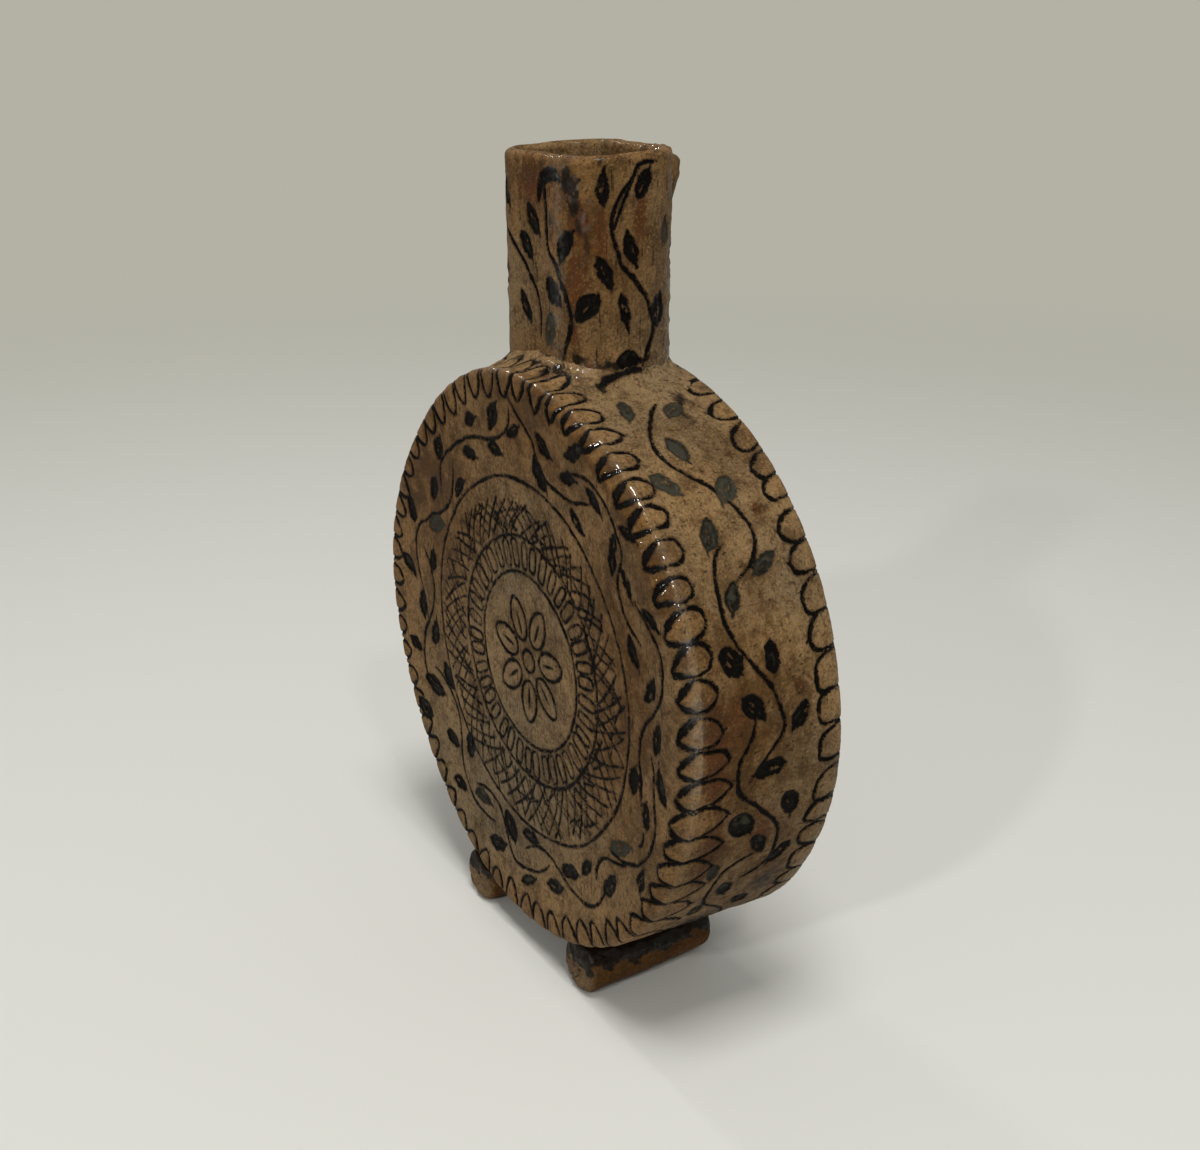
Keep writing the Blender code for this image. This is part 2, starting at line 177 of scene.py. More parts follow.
def crownHeight(x, y):
    # height of the body's upper outline over a plan point, by eight steps of angle = acos(x / radius)
    angle = np.full(np.shape(x), math.pi / 2)
    for _ in range(8):
        angle = np.arccos(np.clip(x / outlineRadius(angle, y), -1, 1))
    return centreZ + outlineRadius(angle, y) * np.sin(angle)


def edgeDrop(angle, side):
    # wall * (dropShare + beatenShare * (1 - (away / spread)^4)), the second part at the front alone
    away = abs(signedTurn(np.degrees(angle) - body["beatenAngle"]))
    beaten = (side < 0) * (1 - np.clip(away / body["beatenSpread"], 0, 1) ** 4)
    return body["slabWall"] * (body["dropShare"] + body["beatenShare"] * beaten)


def bevelWidth(angle, side):
    # width of the bevel between the outer edge and the face: a least width and a share of the drop
    return body["bevelWidth"] + body["bevelShare"] * edgeDrop(angle, side)


def edgeSection(angle, side):
    # rows from the face over the bevel, depth = drop * (1 - inset / width)^power, round the crease by a quadratic
    # curve and down the side. Gives inset, depth, reach (minus inset, then way behind the crease) and normal's turn
    drop, width, soft, power = edgeDrop(angle, side), bevelWidth(angle, side), body["creaseRound"], body["bevelPower"]
    inset = np.linspace(width, soft + 0 * width, body["bevelRows"])[1:]
    depth = drop * (1 - inset / width) ** power
    turn = np.arctan(power * drop / width * (1 - inset / width) ** (power - 1))
    t = np.linspace(0, 1, body["creaseRows"])[1:, None]
    bentInset = soft * (1 - t) ** 2 + 0 * drop
    bentDepth = depth[-1] * (1 - t) ** 2 + 2 * drop * t * (1 - t) + (drop + soft) * t ** 2
    bentTurn = turn[-1] + (np.pi / 2 - turn[-1]) * t
    down = np.linspace(drop + soft, halfDepth - seamY - body["slit"] / 2 + 0 * drop, body["sideRows"])[1:]
    reach = np.vstack([-inset, soft * (2 * t - 1) + 0 * drop, down - drop])
    return (np.vstack([inset, bentInset, 0 * down]), np.vstack([depth, bentDepth, down]), reach,
            np.vstack([turn, bentTurn, 0 * down + np.pi / 2]))


def newDrawing(count):
    # the fields of clear clay. Strokes lower "ink", the distance to the nearest stroke's edge. tone is 1 for black
    # ink and 0 for grey, and the others run from 0 to 1
    clear = {field: np.zeros(count) for field in ("puff", "stain", "rust", "warm", "shine")}
    return dict(ink=np.full(count, farInk), tone=np.ones(count), **clear)


def extended(drawing, count):
    # the fields with hidden points added at their end
    return {field: np.concatenate([values, np.full(count, farInk if field == "ink" else 0.0)])
            for field, values in drawing.items()}


def smear(drawing, places, smears):
    # ragged spots of colour: strength * exp(-(distance / reach)^2), the distance pushed about by unevenness. Each
    # field has a seed and its spots: place, reach each way, strength
    for field, (seed, spots) in smears.items():
        push = 1 + wobbles(places, ((0.35, 3.1), (0.25, 1.2)), seed)
        for x, y, reachX, reachY, strength in spots:
            gap = np.hypot((places[:, 0] - x) / reachX, (places[:, 1] - y) / reachY) * push
            drawing[field] = np.maximum(drawing[field], strength * np.exp(-gap ** 2))


def press(drawing, places, line, half, tone=1.0, lift=False):
    # distance to a bent line minus its half width, for the places near it; lift takes ink away along the line
    half = np.broadcast_to(np.asarray(half, float), len(line))
    reach = half.max() + inkReach
    near = np.flatnonzero(((places > line.min(0) - reach) & (places < line.max(0) + reach)).all(1))
    if not len(near):
        return
    start, step = line[:-1], np.diff(line, axis=0)
    offset = places[near][:, None] - start
    share = np.clip((offset * step).sum(2) / ((step ** 2).sum(1) + 1e-9), 0, 1)
    gap = np.linalg.norm(offset - share[..., None] * step, axis=2) - (half[:-1] + share * np.diff(half))
    gap = gap.min(1)
    if lift:
        drawing["ink"][near] = np.maximum(drawing["ink"][near], -gap)
        return
    closer = gap < drawing["ink"][near]
    drawing["tone"][near[closer]] = tone
    drawing["ink"][near] = np.minimum(drawing["ink"][near], gap)


def smoothLine(points, step=1.3):
    # Catmull-Rom curve through the points, with about one point per step
    points = np.asarray(points, float)
    points = np.vstack([2 * points[0] - points[1], points, 2 * points[-1] - points[-2]])
    parts = []
    for a, b, c, d in zip(points, points[1:], points[2:], points[3:]):
        t = np.linspace(0, 1, max(2, int(np.linalg.norm(c - b) / step)), endpoint=False)[:, None]
        curve = 2 * b + (c - a) * t + (2 * a - 5 * b + 4 * c - d) * t ** 2 + (3 * b - a - 3 * c + d) * t ** 3
        parts.append(curve / 2)
    return np.vstack([*parts, points[-2:-1]])


vineCut = dict(waver=0.24, waverSize=9, swells=((0.24, 14), (0.16, 3.6)), endWidth=0.4, endShare=0.06)


def pressVine(drawing, places, points, half, seed):
    # a long line that wavers, swells and thins in two rhythms, with thin ends
    line = smoothLine(points)
    waver = [wobble(line, vineCut["waverSize"], seed + number) for number in range(2)]
    line = line + vineCut["waver"] * np.stack(waver, 1)
    share = np.linspace(0, 1, len(line))
    ends = smooth(np.minimum(share, 1 - share), 0, vineCut["endShare"])
    swell = 1 + wobbles(line, vineCut["swells"], seed + 2)
    press(drawing, places, line, half * swell * (vineCut["endWidth"] + (1 - vineCut["endWidth"]) * ends))


leafCut = dict(
    points=13, sag=0.09, ragged=(-0.24, 0.16), fullness=0.8, leastHalf=0.05,
    # slivers of clay left in the leaf: fewer than this many, each over five points of its axis
    slivers=3, sliverHalf=(0.02, 0.2, 0.28, 0.2, 0.02), sliverAside=0.22, sliverAhead=0.5,
    tailLength=(0.6, 2.0), tailBend=(0, 0.1, 0.3, 0.6), tailHalf=(0.32, 0.28, 0.2, 0.08),
)


def pressLeaf(drawing, places, x, z, lean, length, width, tone, seed):
    # a short fat stroke with half width = width / 2 * sin(pi t)^fullness and a ragged edge, then slivers and a tail
    pick = np.random.default_rng(seed)
    t = np.linspace(0, 1, leafCut["points"])
    ahead = np.array([math.cos(math.radians(lean)), math.sin(math.radians(lean))])
    aside = np.array([-ahead[1], ahead[0]])
    sag = pick.uniform(-leafCut["sag"], leafCut["sag"]) * length * 4 * t * (1 - t)
    axis = np.array([x, z]) + (t - 0.5)[:, None] * length * ahead + sag[:, None] * aside
    ragged = 1 + pick.uniform(*leafCut["ragged"], len(t))
    full = np.sin(np.pi * np.clip(t, 0.02, 0.98)) ** leafCut["fullness"]
    press(drawing, places, axis, width / 2 * ragged * full + leafCut["leastHalf"], tone)
    for _ in range(pick.integers(0, leafCut["slivers"])):
        start = pick.integers(2, 6)
        sliver = axis[start:start + 5] + aside * width * pick.uniform(-leafCut["sliverAside"], leafCut["sliverAside"])
        sliver = sliver + ahead * pick.uniform(-leafCut["sliverAhead"], leafCut["sliverAhead"])
        press(drawing, places, sliver, np.array(leafCut["sliverHalf"]) * pick.uniform(0.7, 1.5), lift=True)
    side = pick.choice((-1, 1))
    reach = np.linspace(0, pick.uniform(*leafCut["tailLength"]), 4)[:, None]
    tail = axis[-1] + ahead * reach + side * aside * np.array(leafCut["tailBend"])[:, None]
    press(drawing, places, tail, leafCut["tailHalf"], tone)


# tongues that fold over both edges of the body. Each entry has angles round the turn, and values there
tongues = dict(
    # faceReach: how far in from the outline. bandReach: how far behind the face's plane
    front=dict(
        side=-1, count=59, phase=57.4, stroke=0.43, heavy=0.0, worn=0.85, uneven=1.0, swell=1.0,
        faceReach=((-180, -160, -140, -115, -90, -60, -30, -5, 20, 35, 46, 62, 75, 90, 120, 145, 160, 180),
                   (8.8, 7.2, 9.4, 6.4, 9.6, 8.0, 5.0, 3.6, 4.2, 5.2, 6.4, 4.4, 6.6, 8.4, 9.2, 7.2, 8.0, 8.8)),
        bandReach=((-180, -60, -40, -27, -16, -5, 10, 20, 35, 60, 75, 180),
                   (12.2, 12.2, 14.2, 13.8, 16.2, 15.4, 12.8, 11.0, 10.0, 11.4, 10.6, 12.2)),
        halfWidth=((-180, -120, -60, -40, -20, 10, 25, 33, 42, 60, 75, 90, 120, 180),
                   (4.0, 4.1, 4.1, 4.4, 4.5, 4.3, 4.1, 3.7, 3.3, 3.1, 3.5, 4.0, 4.1, 4.0)),
        facePower=((-180, -10, 12, 24, 78, 90, 180), (2.2, 2.2, 1.6, 1.35, 1.35, 2.2, 2.2)),
        facePoint=((-180, -60, -45, 10, 30, 75, 90, 180), (0.60, 0.64, 1.0, 1.0, 0.94, 0.94, 0.60, 0.60)),
        bandPoint=((-180, -60, -45, -5, 10, 25, 180), (0.7, 0.85, 1.0, 0.96, 0.84, 0.48, 0.48)),
        shadeWedge=((-180, -60, 8, 28, 40, 75, 95, 180), (0.10, 0.08, 0.14, 0.20, 0.44, 0.44, 0.14, 0.12)),
        faceLean=((-180, -40, -20, 0, 55, 70, 180), (0, 0, -0.6, -1.5, -1.9, 0, 0)),
        bandLean=((-180, 180), (0, 0)), glaze=((-180, -70, -14, 12, 100, 180), (0.4, 0.12, 0.12, 1, 1, 0.5)),
    ),
    back=dict(
        side=1, count=54, phase=13.2, stroke=0.37, heavy=0.45, worn=0.2, uneven=2.4, swell=0.5,
        faceReach=((-180, 180), (7.5, 7.5)),
        bandReach=((-180, -20, 0, 30, 60, 180), (8.2, 8.6, 9.0, 9.4, 8.6, 8.2)),
        halfWidth=((-180, 180), (4.8, 4.8)), facePower=((-180, 180), (2.2, 2.2)), facePoint=((-180, 180), (0.62, 0.62)),
        bandPoint=((-180, 180), (0.40, 0.40)), shadeWedge=((-180, 180), (0, 0)),
        faceLean=((-180, 180), (0, 0)), bandLean=((-180, 180), (-1.5, -1.5)), glaze=((-180, 180), (0.4, 0.4)),
    ),
)


def pressTongues(drawing, angle, reach, look, seed):
    # each tongue is a loop about its own axis: half width = halfWidth * (1 - u^facePower)^point on the face, u^3.4 on
    # the band, u running from the crease to the tip. Two strokes draw it, thin at the ends, and one runs past the tip
    pick = np.random.default_rng(seed)
    uneven = look["uneven"]
    for number in range(look["count"]):
        middle = signedTurn(look["phase"] + 360 * number / look["count"])
        here = {key: np.interp(middle, *table) for key, table in look.items() if isinstance(table, tuple)}
        low = -here["faceReach"] + pick.uniform(-0.7, 0.7)
        high = here["bandReach"] - edgeDrop(math.radians(middle), look["side"]) + pick.uniform(-0.9, 0.9)
        halfWidth = here["halfWidth"] * (1 + uneven * pick.uniform(-0.12, 0.08))
        middle += uneven * pick.uniform(-0.4, 0.4)
        across = np.radians(signedTurn(np.degrees(angle) - middle)) * body["radius"]
        near = np.flatnonzero((abs(across) < 8.5) & (reach > low - 3) & (reach < high + 3))
        slant = pick.uniform(-0.07, 0.07)
        faceLean = here["faceLean"] + pick.uniform(-0.4, 0.4)
        bandLean = here["bandLean"] + uneven * pick.uniform(-0.8, 0.8)
        bandPoint = here["bandPoint"] * (1 + uneven * pick.uniform(-0.15, 0.3))
        swells, shakes = pick.uniform(0.62, 1.38, (2, 7)), pick.uniform(-0.34, 0.34, (2, 9))
        worn, tailSide, tail = look["worn"] * pick.uniform(0.3, 1.1), pick.choice((-1, 1)), pick.uniform(-0.8, 1.7)
        if not len(near):
            continue
        t = np.linspace(0, np.pi, 25)
        along = (low + high) / 2 - (high - low) / 2 * np.cos(t)
        onFace, onBand = np.clip(along / low, 0, 1), np.clip(along / high, 0, 1)
        point = np.where(along < 0, here["facePoint"], bandPoint)
        wide = halfWidth * (1 - np.maximum(onFace, onBand) ** np.where(along < 0, here["facePower"], 3.4)) ** point
        shift = slant * (along - along.mean()) + faceLean * smooth(onFace, 0, 1) + bandLean * onBand
        aside, behind = across[near], reach[near]
        places = placesOf(aside, behind)
        local = dict(ink=drawing["ink"][near], tone=drawing["tone"][near])
        for row, side in enumerate((-1, 1)):
            shake = np.interp(t, np.linspace(0, np.pi, 9), shakes[row])
            line = placesOf(side * wide + shift + shake, along + shake * 0.5)
            stroke = look["stroke"] * np.interp(t, np.linspace(0, np.pi, 7), swells[row])
            stroke = stroke * (0.72 + 0.45 * abs(np.sin(2 * t)) ** 0.8 + look["heavy"] * smooth(t, 1.7, 2.6))
            # the face-side stroke widens into a black wedge: black inlay, and also painted shade of the deep gap where
            # the tongue folds over the face
            swollen = here["shadeWedge"] * (1.25 if side > 0 else 0.8) * np.sin(np.pi * onFace) ** 0.7
            rubbed = worn * np.exp(-((along - 0.4) / 1.1) ** 2)
            press(local, places, line, (stroke + swollen) * (1 - rubbed))
            if side == tailSide and tail > 0:
                end = line[-1] + np.linspace(0, tail, 4)[:, None] * (-0.5 * side, 0.85)
                press(local, places, end, stroke[-1] * np.array([1.0, 0.8, 0.55, 0.2]))
        inside = np.interp(behind, along, wide, left=0, right=0) - abs(aside - np.interp(behind, along, shift))
        soft = dict(
            shine=here["glaze"] * np.exp(-((behind - 0.2) / 1.4) ** 2),
            # painted shade: the face-side part of each tongue, on the bevel in front of the crease, is darkened as if
            # in shade
            warm=0.9 * smooth(-behind, 0, 0.9) * (1 - smooth(-behind, 5, 8)) * min(1, here["shadeWedge"] * 3),
            puff=look["swell"] * smooth(inside, 0.2, 2.4))
        drawing["ink"][near], drawing["tone"][near] = local["ink"], local["tone"]
        for field, values in soft.items():
            drawing[field][near] = np.maximum(drawing[field][near], values)


faceWork = dict(
    # rings: middle and radius. Half widths of the strokes end in Half
    outerRing=(3.4, 1.3, 57.2), middleRing=(5.2, 1.9, 39.1), innerRing=(4.8, 2.1, 28.0), ringWaver=0.35, ringHalf=0.40,
    loops=39, loopGap=2.6, loopRise=0.3, loopHalf=0.33, vineHalf=0.46,
    netSpokes=62, netHalf=0.27, netReach=55.8, netTopReach=51.5,
    petals=7, petalIn=6.5, petalOut=20.5, petalWidth=4.4, petalHalf=0.42, eyeRadius=3.6, eyeHalf=0.4,
    # vines, each by points (x, z) from the body's middle
    vines=(
        ((-3.1, 82.5), (2.5, 77.5), (8.8, 72.5), (12.5, 67.5), (16.3, 63.1), (21.3, 61.3), (30, 60.4), (40.6, 62.3)),
        ((28.8, 68.1), (35, 69.4), (41.3, 69.1), (47.5, 66.5), (52.5, 62.3), (55.6, 57.5), (57.3, 53.1), (56, 49.4),
         (54.4, 45), (55.6, 40), (60, 34.4), (65.6, 30.6)),
        ((63.1, 41.9), (68.8, 38.1), (73.8, 34.4), (76.9, 29.4), (77.5, 24.4), (76.3, 18.8), (72.5, 12.5), (68.8, 8.8),
         (66.6, 3.8), (65.9, -2.5), (66.3, -8.8), (67.1, -17.5)),
        ((71.9, 0), (73.4, -5), (74, -12.5), (74.8, -20), (73.8, -26.3), (70.6, -31.9), (65.6, -36.9), (60, -39.4),
         (51.3, -40)),
        ((68.8, -25), (68, -28.6), (66.3, -30.6)),
        ((60, -40.6), (52.5, -42.5), (47.5, -44.4), (44.4, -48.8), (43.5, -53.8)),
        ((53.8, -46.3), (48.8, -55), (45, -61.3), (40.6, -64.8), (35, -66), (28.8, -65.4), (22.5, -62.8),
         (17.5, -60.6), (12.5, -60), (6.9, -61.3), (0.6, -65.6)),
        ((15.6, -63.8), (12.5, -67.5), (7.5, -70.6), (1.3, -72.9), (-5, -74), (-8.8, -71.9), (-10.6, -68.8),
         (-12.5, -64.4), (-14.4, -60), (-18.1, -56.9), (-23.8, -55.6), (-28.8, -56.3), (-31.9, -57.3)),
        ((-19.4, -65.6), (-25, -66.3), (-31.3, -65.6), (-35.6, -63.5), (-39.4, -59.4), (-41.3, -55), (-42.3, -48.8),
         (-42.3, -42.5), (-43.1, -37.5), (-45.6, -33.1), (-50, -29.4), (-56.3, -26.3), (-61.3, -25.6)),
        ((-65.6, 17.5), (-61.3, 12.5), (-59.1, 6.3), (-59.4, 0), (-63.8, -8.8), (-67.3, -13.8), (-69.1, -20),
         (-69, -26.3), (-66.9, -31.3)),
        ((-65, -8.8), (-65.6, -3.8), (-68.1, 2.5), (-70.6, 8.8), (-71.3, 15), (-70.6, 20.6), (-66.9, 25.6),
         (-61.9, 28.1), (-57.5, 31.3), (-52.5, 33.1), (-48.1, 35.6), (-45.6, 38.1), (-43.1, 41.3), (-41.9, 45),
         (-41.3, 48.8), (-41, 53.8)),
        ((-50.6, 40), (-50.6, 45), (-50, 50), (-46.9, 54.4), (-41.3, 58.1), (-35, 61.9), (-28.8, 64.4),
         (-22.5, 65.6), (-16.3, 66.9), (-10, 69), (-6.3, 71.9), (-4, 75.6), (-3.1, 79.4)),
    ),
    smears=dict(
        stain=(91, ((-20, -68, 9, 4, 0.35), (-43, -50, 6, 6, 0.25), (-50, 10, 4, 9, 0.3), (4, 58, 6, 3, 0.25))),
        warm=(93, ((60, 18, 26, 50, 1.0), (-56, 42, 30, 36, 1.0), (10, 76, 40, 16, 0.9), (6, 8, 14, 18, 0.4))),
    ),
    # leaves: x, z, lean in degrees, length, width, tone from 0 grey to 1 black
    leaves=(
        (-13.8, 74.4, 60, 11, 5, 1), (-28.8, 69.6, 30, 7, 4, 1),
        (-1.9, 72.5, 30, 8, 3.5, 1), (-13.1, 64.1, 0, 8.5, 4, 1),
        (15.6, 72.8, -35, 9.5, 4.5, 1), (33.1, 75.6, 30, 11, 4.5, 0.8), (13.8, 63.8, -50, 11, 5, 1),
        (28.8, 66.3, 10, 8.5, 4, 1), (43.1, 64, -35, 9, 4.5, 1), (33.8, 55.6, -40, 8.5, 3.5, 0.9),
        (-30, 58.5, 0, 9, 4, 1), (-50, 55.3, 70, 8, 5, 1), (-36.9, 45.6, 50, 8.5, 4, 1), (-55.3, 40.6, 70, 8.5, 5, 1),
        (-72.3, 28.8, 100, 9, 5, 1), (-55, 28.1, 20, 12, 5.5, 0.3), (-58.4, 14.6, 80, 8.5, 4.5, 1),
        (-77.1, 7.1, -35, 10, 5, 1), (-68.1, -4.8, 95, 10, 5, 1), (-60.3, -11.9, 70, 10, 5, 1),
        (-50.3, -24.4, -50, 9, 5.5, 1), (-75, -21.6, -20, 8, 4, 0.9), (-61.3, -32.3, -5, 14, 6, 1),
        (-35.6, -44.4, 80, 9, 6, 1), (-49, -47.9, -10, 9, 5, 1), (-68.1, -43.5, -20, 9, 6, 0.9),
        (-44.4, -63.4, -5, 8.5, 4.5, 0.9), (-27.5, -61, 5, 12, 5, 0.5), (-8.8, -62.3, -60, 10, 7, 1),
        (-18.1, -72.5, 15, 12, 5, 0.9), (4, -60, 10, 10, 5, 0.9), (2.5, -76.5, 30, 10, 3.5, 0.8),
        (19.4, -69.4, 20, 10.5, 4.5, 0.9), (28.1, -59.8, 20, 10, 5, 0.9), (38.1, -53.1, 50, 8.5, 4, 0.9),
        (50.6, -51.3, 55, 10.5, 5, 0.8), (56.3, -36.3, 30, 11.5, 5, 0.25), (68.8, -40.6, 80, 9, 3.5, 0.9),
        (63.1, -11.3, 80, 9, 4.5, 1), (70, -19.4, 95, 8.5, 4, 1), (78.1, -6.3, 110, 10.5, 4.5, 1),
        (75, 6.3, 80, 9.5, 4, 0.9), (70.6, 19.4, 60, 9, 4, 1), (62.8, 27.5, -60, 9.5, 4, 1),
        (58.8, 45.6, -60, 8.5, 3.5, 1), (51.5, 50, 90, 9, 3.5, 1), (70.6, 39.4, -20, 8.5, 3, 0.8),
        (60, 60, -10, 8.5, 3, 0.9), (52.5, 55, 60, 7, 3.5, 0.9),
    ),
)


def ringLine(centreX, centreY, radius, waver, seed):
    # a circle whose radius wavers
    turn = np.linspace(0, fullTurn, 181)
    circle = np.stack([np.cos(turn), np.sin(turn)], 1)
    return np.array([centreX, centreY]) + circle * (radius + waver * wobble(circle * radius, 34, seed))[:, None]


def polar(ringName, radius, turn):
    # places by radius and turn about the middle of a ring
    centreX, centreY, _ = faceWork[ringName]
    return np.stack([centreX + radius * np.cos(turn), centreY + radius * np.sin(turn)], -1)


def pressFace(drawing, places, seed):
    # rings, a row of upright loops, a hatched net, vines with leaves, and a rosette in the middle
    pick = np.random.default_rng(seed)
    for number, ring in enumerate(("outerRing", "middleRing", "innerRing")):
        line = ringLine(*faceWork[ring], faceWork["ringWaver"], seed + number)
        swell = 1 + 0.25 * wobble(line, 25, seed + 10 + number)
        press(drawing, places, line, faceWork["ringHalf"] * swell)
    inner, middle = faceWork["innerRing"][2], faceWork["middleRing"][2]
    for number in range(faceWork["loops"]):
        turn = fullTurn * (number + pick.uniform(-0.12, 0.12)) / faceWork["loops"]
        t = np.linspace(0, fullTurn, 21)
        squarish = (abs(np.cos(t)) ** 4 + abs(np.sin(t)) ** 4) ** -0.25
        tall = (middle - inner - faceWork["loopGap"]) / 2 * pick.uniform(0.9, 1.04)
        radius = (inner + middle) / 2 + faceWork["loopRise"] + tall * np.cos(t) * squarish
        across = pick.uniform(1.55, 1.95) * np.sin(t) * squarish + pick.uniform(-0.06, 0.06) * (radius - inner)
        line = polar("innerRing", radius, turn + across / radius)
        press(drawing, places, line, faceWork["loopHalf"] * pick.uniform(0.8, 1.2))
    spokes = faceWork["netSpokes"]
    for number in range(spokes):
        for side in (-1, 1):
            turn = fullTurn * (number + pick.uniform(-0.3, 0.3)) / spokes
            top = max(0.0, math.sin(turn))
            far = faceWork["netReach"] + (faceWork["netTopReach"] - faceWork["netReach"]) * top
            bend = side * pick.uniform(0.14, 0.30)
            share = np.linspace(0, 1, 6)
            start, end = middle + pick.uniform(0.3, 1.8), far - pick.uniform(0, 2.6)
            line = polar("outerRing", start + (end - start) * share, turn + bend * (share - 0.5))
            line += 0.3 * wobble(line, 8, seed + number)[:, None]
            press(drawing, places, line, faceWork["netHalf"] * pick.uniform(0.7, 1.3), 0.9)
        if number % 3:
            turn = fullTurn * (number + pick.uniform(-0.5, 0.5)) / spokes
            share = np.linspace(-1, 1, 6)
            radius = pick.uniform(middle + 2.5, far - 2)
            line = polar("outerRing", radius + pick.uniform(-3, 3) * share, turn + pick.uniform(0.05, 0.11) * share)
            press(drawing, places, line, faceWork["netHalf"] * pick.uniform(0.7, 1.3), 0.9)
    petalIn, petalOut = faceWork["petalIn"], faceWork["petalOut"]
    for number in range(faceWork["petals"]):
        turn = fullTurn * (number + 0.25) / faceWork["petals"]
        t = np.linspace(0, np.pi, 12)
        radius = (petalIn + petalOut) / 2 - (petalOut - petalIn) / 2 * np.cos(t)
        for side in (-1, 1):
            line = polar("innerRing", radius, turn + side * faceWork["petalWidth"] * np.sin(t) ** 1.2 / radius)
            press(drawing, places, line, faceWork["petalHalf"] * (0.8 + 0.4 * np.sin(t)))
        vein = polar("innerRing", np.linspace(9, 15.5, 5), turn)
        press(drawing, places, vein, [0.15, 0.4, 0.45, 0.35, 0.12], 0.7)
    eye = ringLine(*faceWork["innerRing"][:2], faceWork["eyeRadius"], 0.15, seed + 5)
    press(drawing, places, eye, faceWork["eyeHalf"])
    for number, points in enumerate(faceWork["vines"]):
        pressVine(drawing, places, points, faceWork["vineHalf"], seed + 40 + 3 * number)
    for number, leaf in enumerate(faceWork["leaves"]):
        pressLeaf(drawing, places, *leaf, seed + 100 + number)


# the band: vines by (angle in degrees, y), and leaves by angle, y, lean, length, width, tone
bandWork = dict(
    vineHalf=0.50,
    # the drawing's copies: their turn, the first vine that they take, and the angles kept of strokes and of leaves
    copies=((0, 0, (-54.5, 76), (-60, 80)), (-88.8, 1, (-54.5, 76), (-60, 45)), (-177.6, 1, (-54.5, 76), (-60, 45)),
            (120, 2, (-38, 10), (-34, 8))),
    # places of the smears: angle and y
    smears=dict(
        rust=(98, ((43.6, 12.8, 1.1, 1.6, 0.9), (9, -9, 9, 6, 0.45), (4, -16, 14, 5, 0.7), (-18, -14, 10, 6, 0.6),
                   (12, 12, 2, 3, 0.6), (-16, 2, 8, 6, 0.5))),
        warm=(101, ((5, -5, 26, 19, 0.95), (-18, 0, 20, 30, 0.65), (-34, 10, 16, 16, 0.9), (25, -18, 14, 6, 0.5))),
        stain=(99, ((-33, 12, 9, 8, 0.45), (-47, 0, 6, 14, 0.5), (-26, -15, 6, 4, 0.3), (58, 14, 3, 6, 0.3),
                    (66, 9, 3, 3, 0.5), (71, 12, 2.5, 4, 0.6), (12, 14, 4, 4, 0.25), (-12, 10, 5, 4, 0.3))),
    ),
    vines=(
        ((70.3, 3.4), (68.5, 0.3), (64.4, -4.6), (61, -7.3), (57.8, -8.2), (54.8, -6.7), (52.5, -3.7), (49.5, 0.7),
         (46.5, 4.3), (43.6, 6.7), (40, 8.1), (37, 7.4), (34.6, 4.3), (32.9, 0.7), (31.4, -2.6)),
        ((38.5, -2.4), (36.7, -6), (34, -8.4), (30.2, -9.6), (25.7, -9.4), (22.2, -7.8), (18.6, -4.2), (15, 0.1),
         (12.8, 2.5), (9.3, 4.6), (6, 5.9), (4, 5.2), (1.6, 2.1), (-0.8, -1.1), (-4.1, -4.6)),
        ((8.7, -3.3), (6.3, -4), (4, -5.3), (1, -7.8), (-2, -8.7), (-5, -8.2), (-7.3, -5.5), (-9.7, -1.1), (-12.1, 3.4),
         (-14.5, 6.5), (-17.4, 8.3), (-21, 8.8), (-25.1, 7.9), (-27.5, 4.3), (-28.7, 1.2)),
        ((-21.6, 2.1), (-22.8, -2.4), (-25.1, -6), (-28.7, -7.9), (-32.8, -8.4), (-35.8, -6.7), (-38.2, -2.4),
         (-40.6, 1.2), (-43.5, 4.7), (-47, 6.8), (-51, 6.2), (-54, 2.2)),
    ),
    leaves=(
        (69.7, -7.8, 15, 9, 4, 0.4), (68.0, 7.4, 55, 8.6, 4.4, 0.35), (58.1, -1.5, -10, 9, 5, 0.45),
        (51.0, -11.8, -40, 9, 5.2, 0.3), (48.3, 5.6, 35, 9, 5.4, 0.3), (40.7, -6.2, 25, 9.5, 5.4, 0.5),
        (29.3, -4.7, 20, 8.2, 4.6, 0.6), (33.7, 8.3, 60, 9.6, 4.4, 0.5), (18.9, -9.6, -35, 9, 5.8, 1),
        (18.0, 3.8, 0, 9.4, 4.6, 1), (10.2, -4.2, -45, 10, 5.6, 1), (-2.3, 2.1, 80, 9.6, 5.6, 1),
        (6.6, 11, 35, 8.8, 5.2, 1), (-13, -4.6, -40, 8.6, 6.8, 0.8), (-19.2, 2.1, -30, 8.2, 4.6, 0.8),
        (-24.2, -9.7, 0, 6.4, 3.8, 0.5), (-31.4, -2.9, -20, 7.2, 4.6, 0.9), (-10.9, 9.6, -20, 8.2, 5.4, 0.9),
        (-23.4, 11.4, 35, 8.8, 5, 0.9), (-38.8, 7, -40, 6.6, 5.4, 0.9), (-37.9, -8.2, 0, 6, 4.6, 0.5),
        (-48, 0.5, 30, 8.5, 4.6, 0.8), (-50, -9.5, -20, 8, 4.4, 0.7),
    ),
)


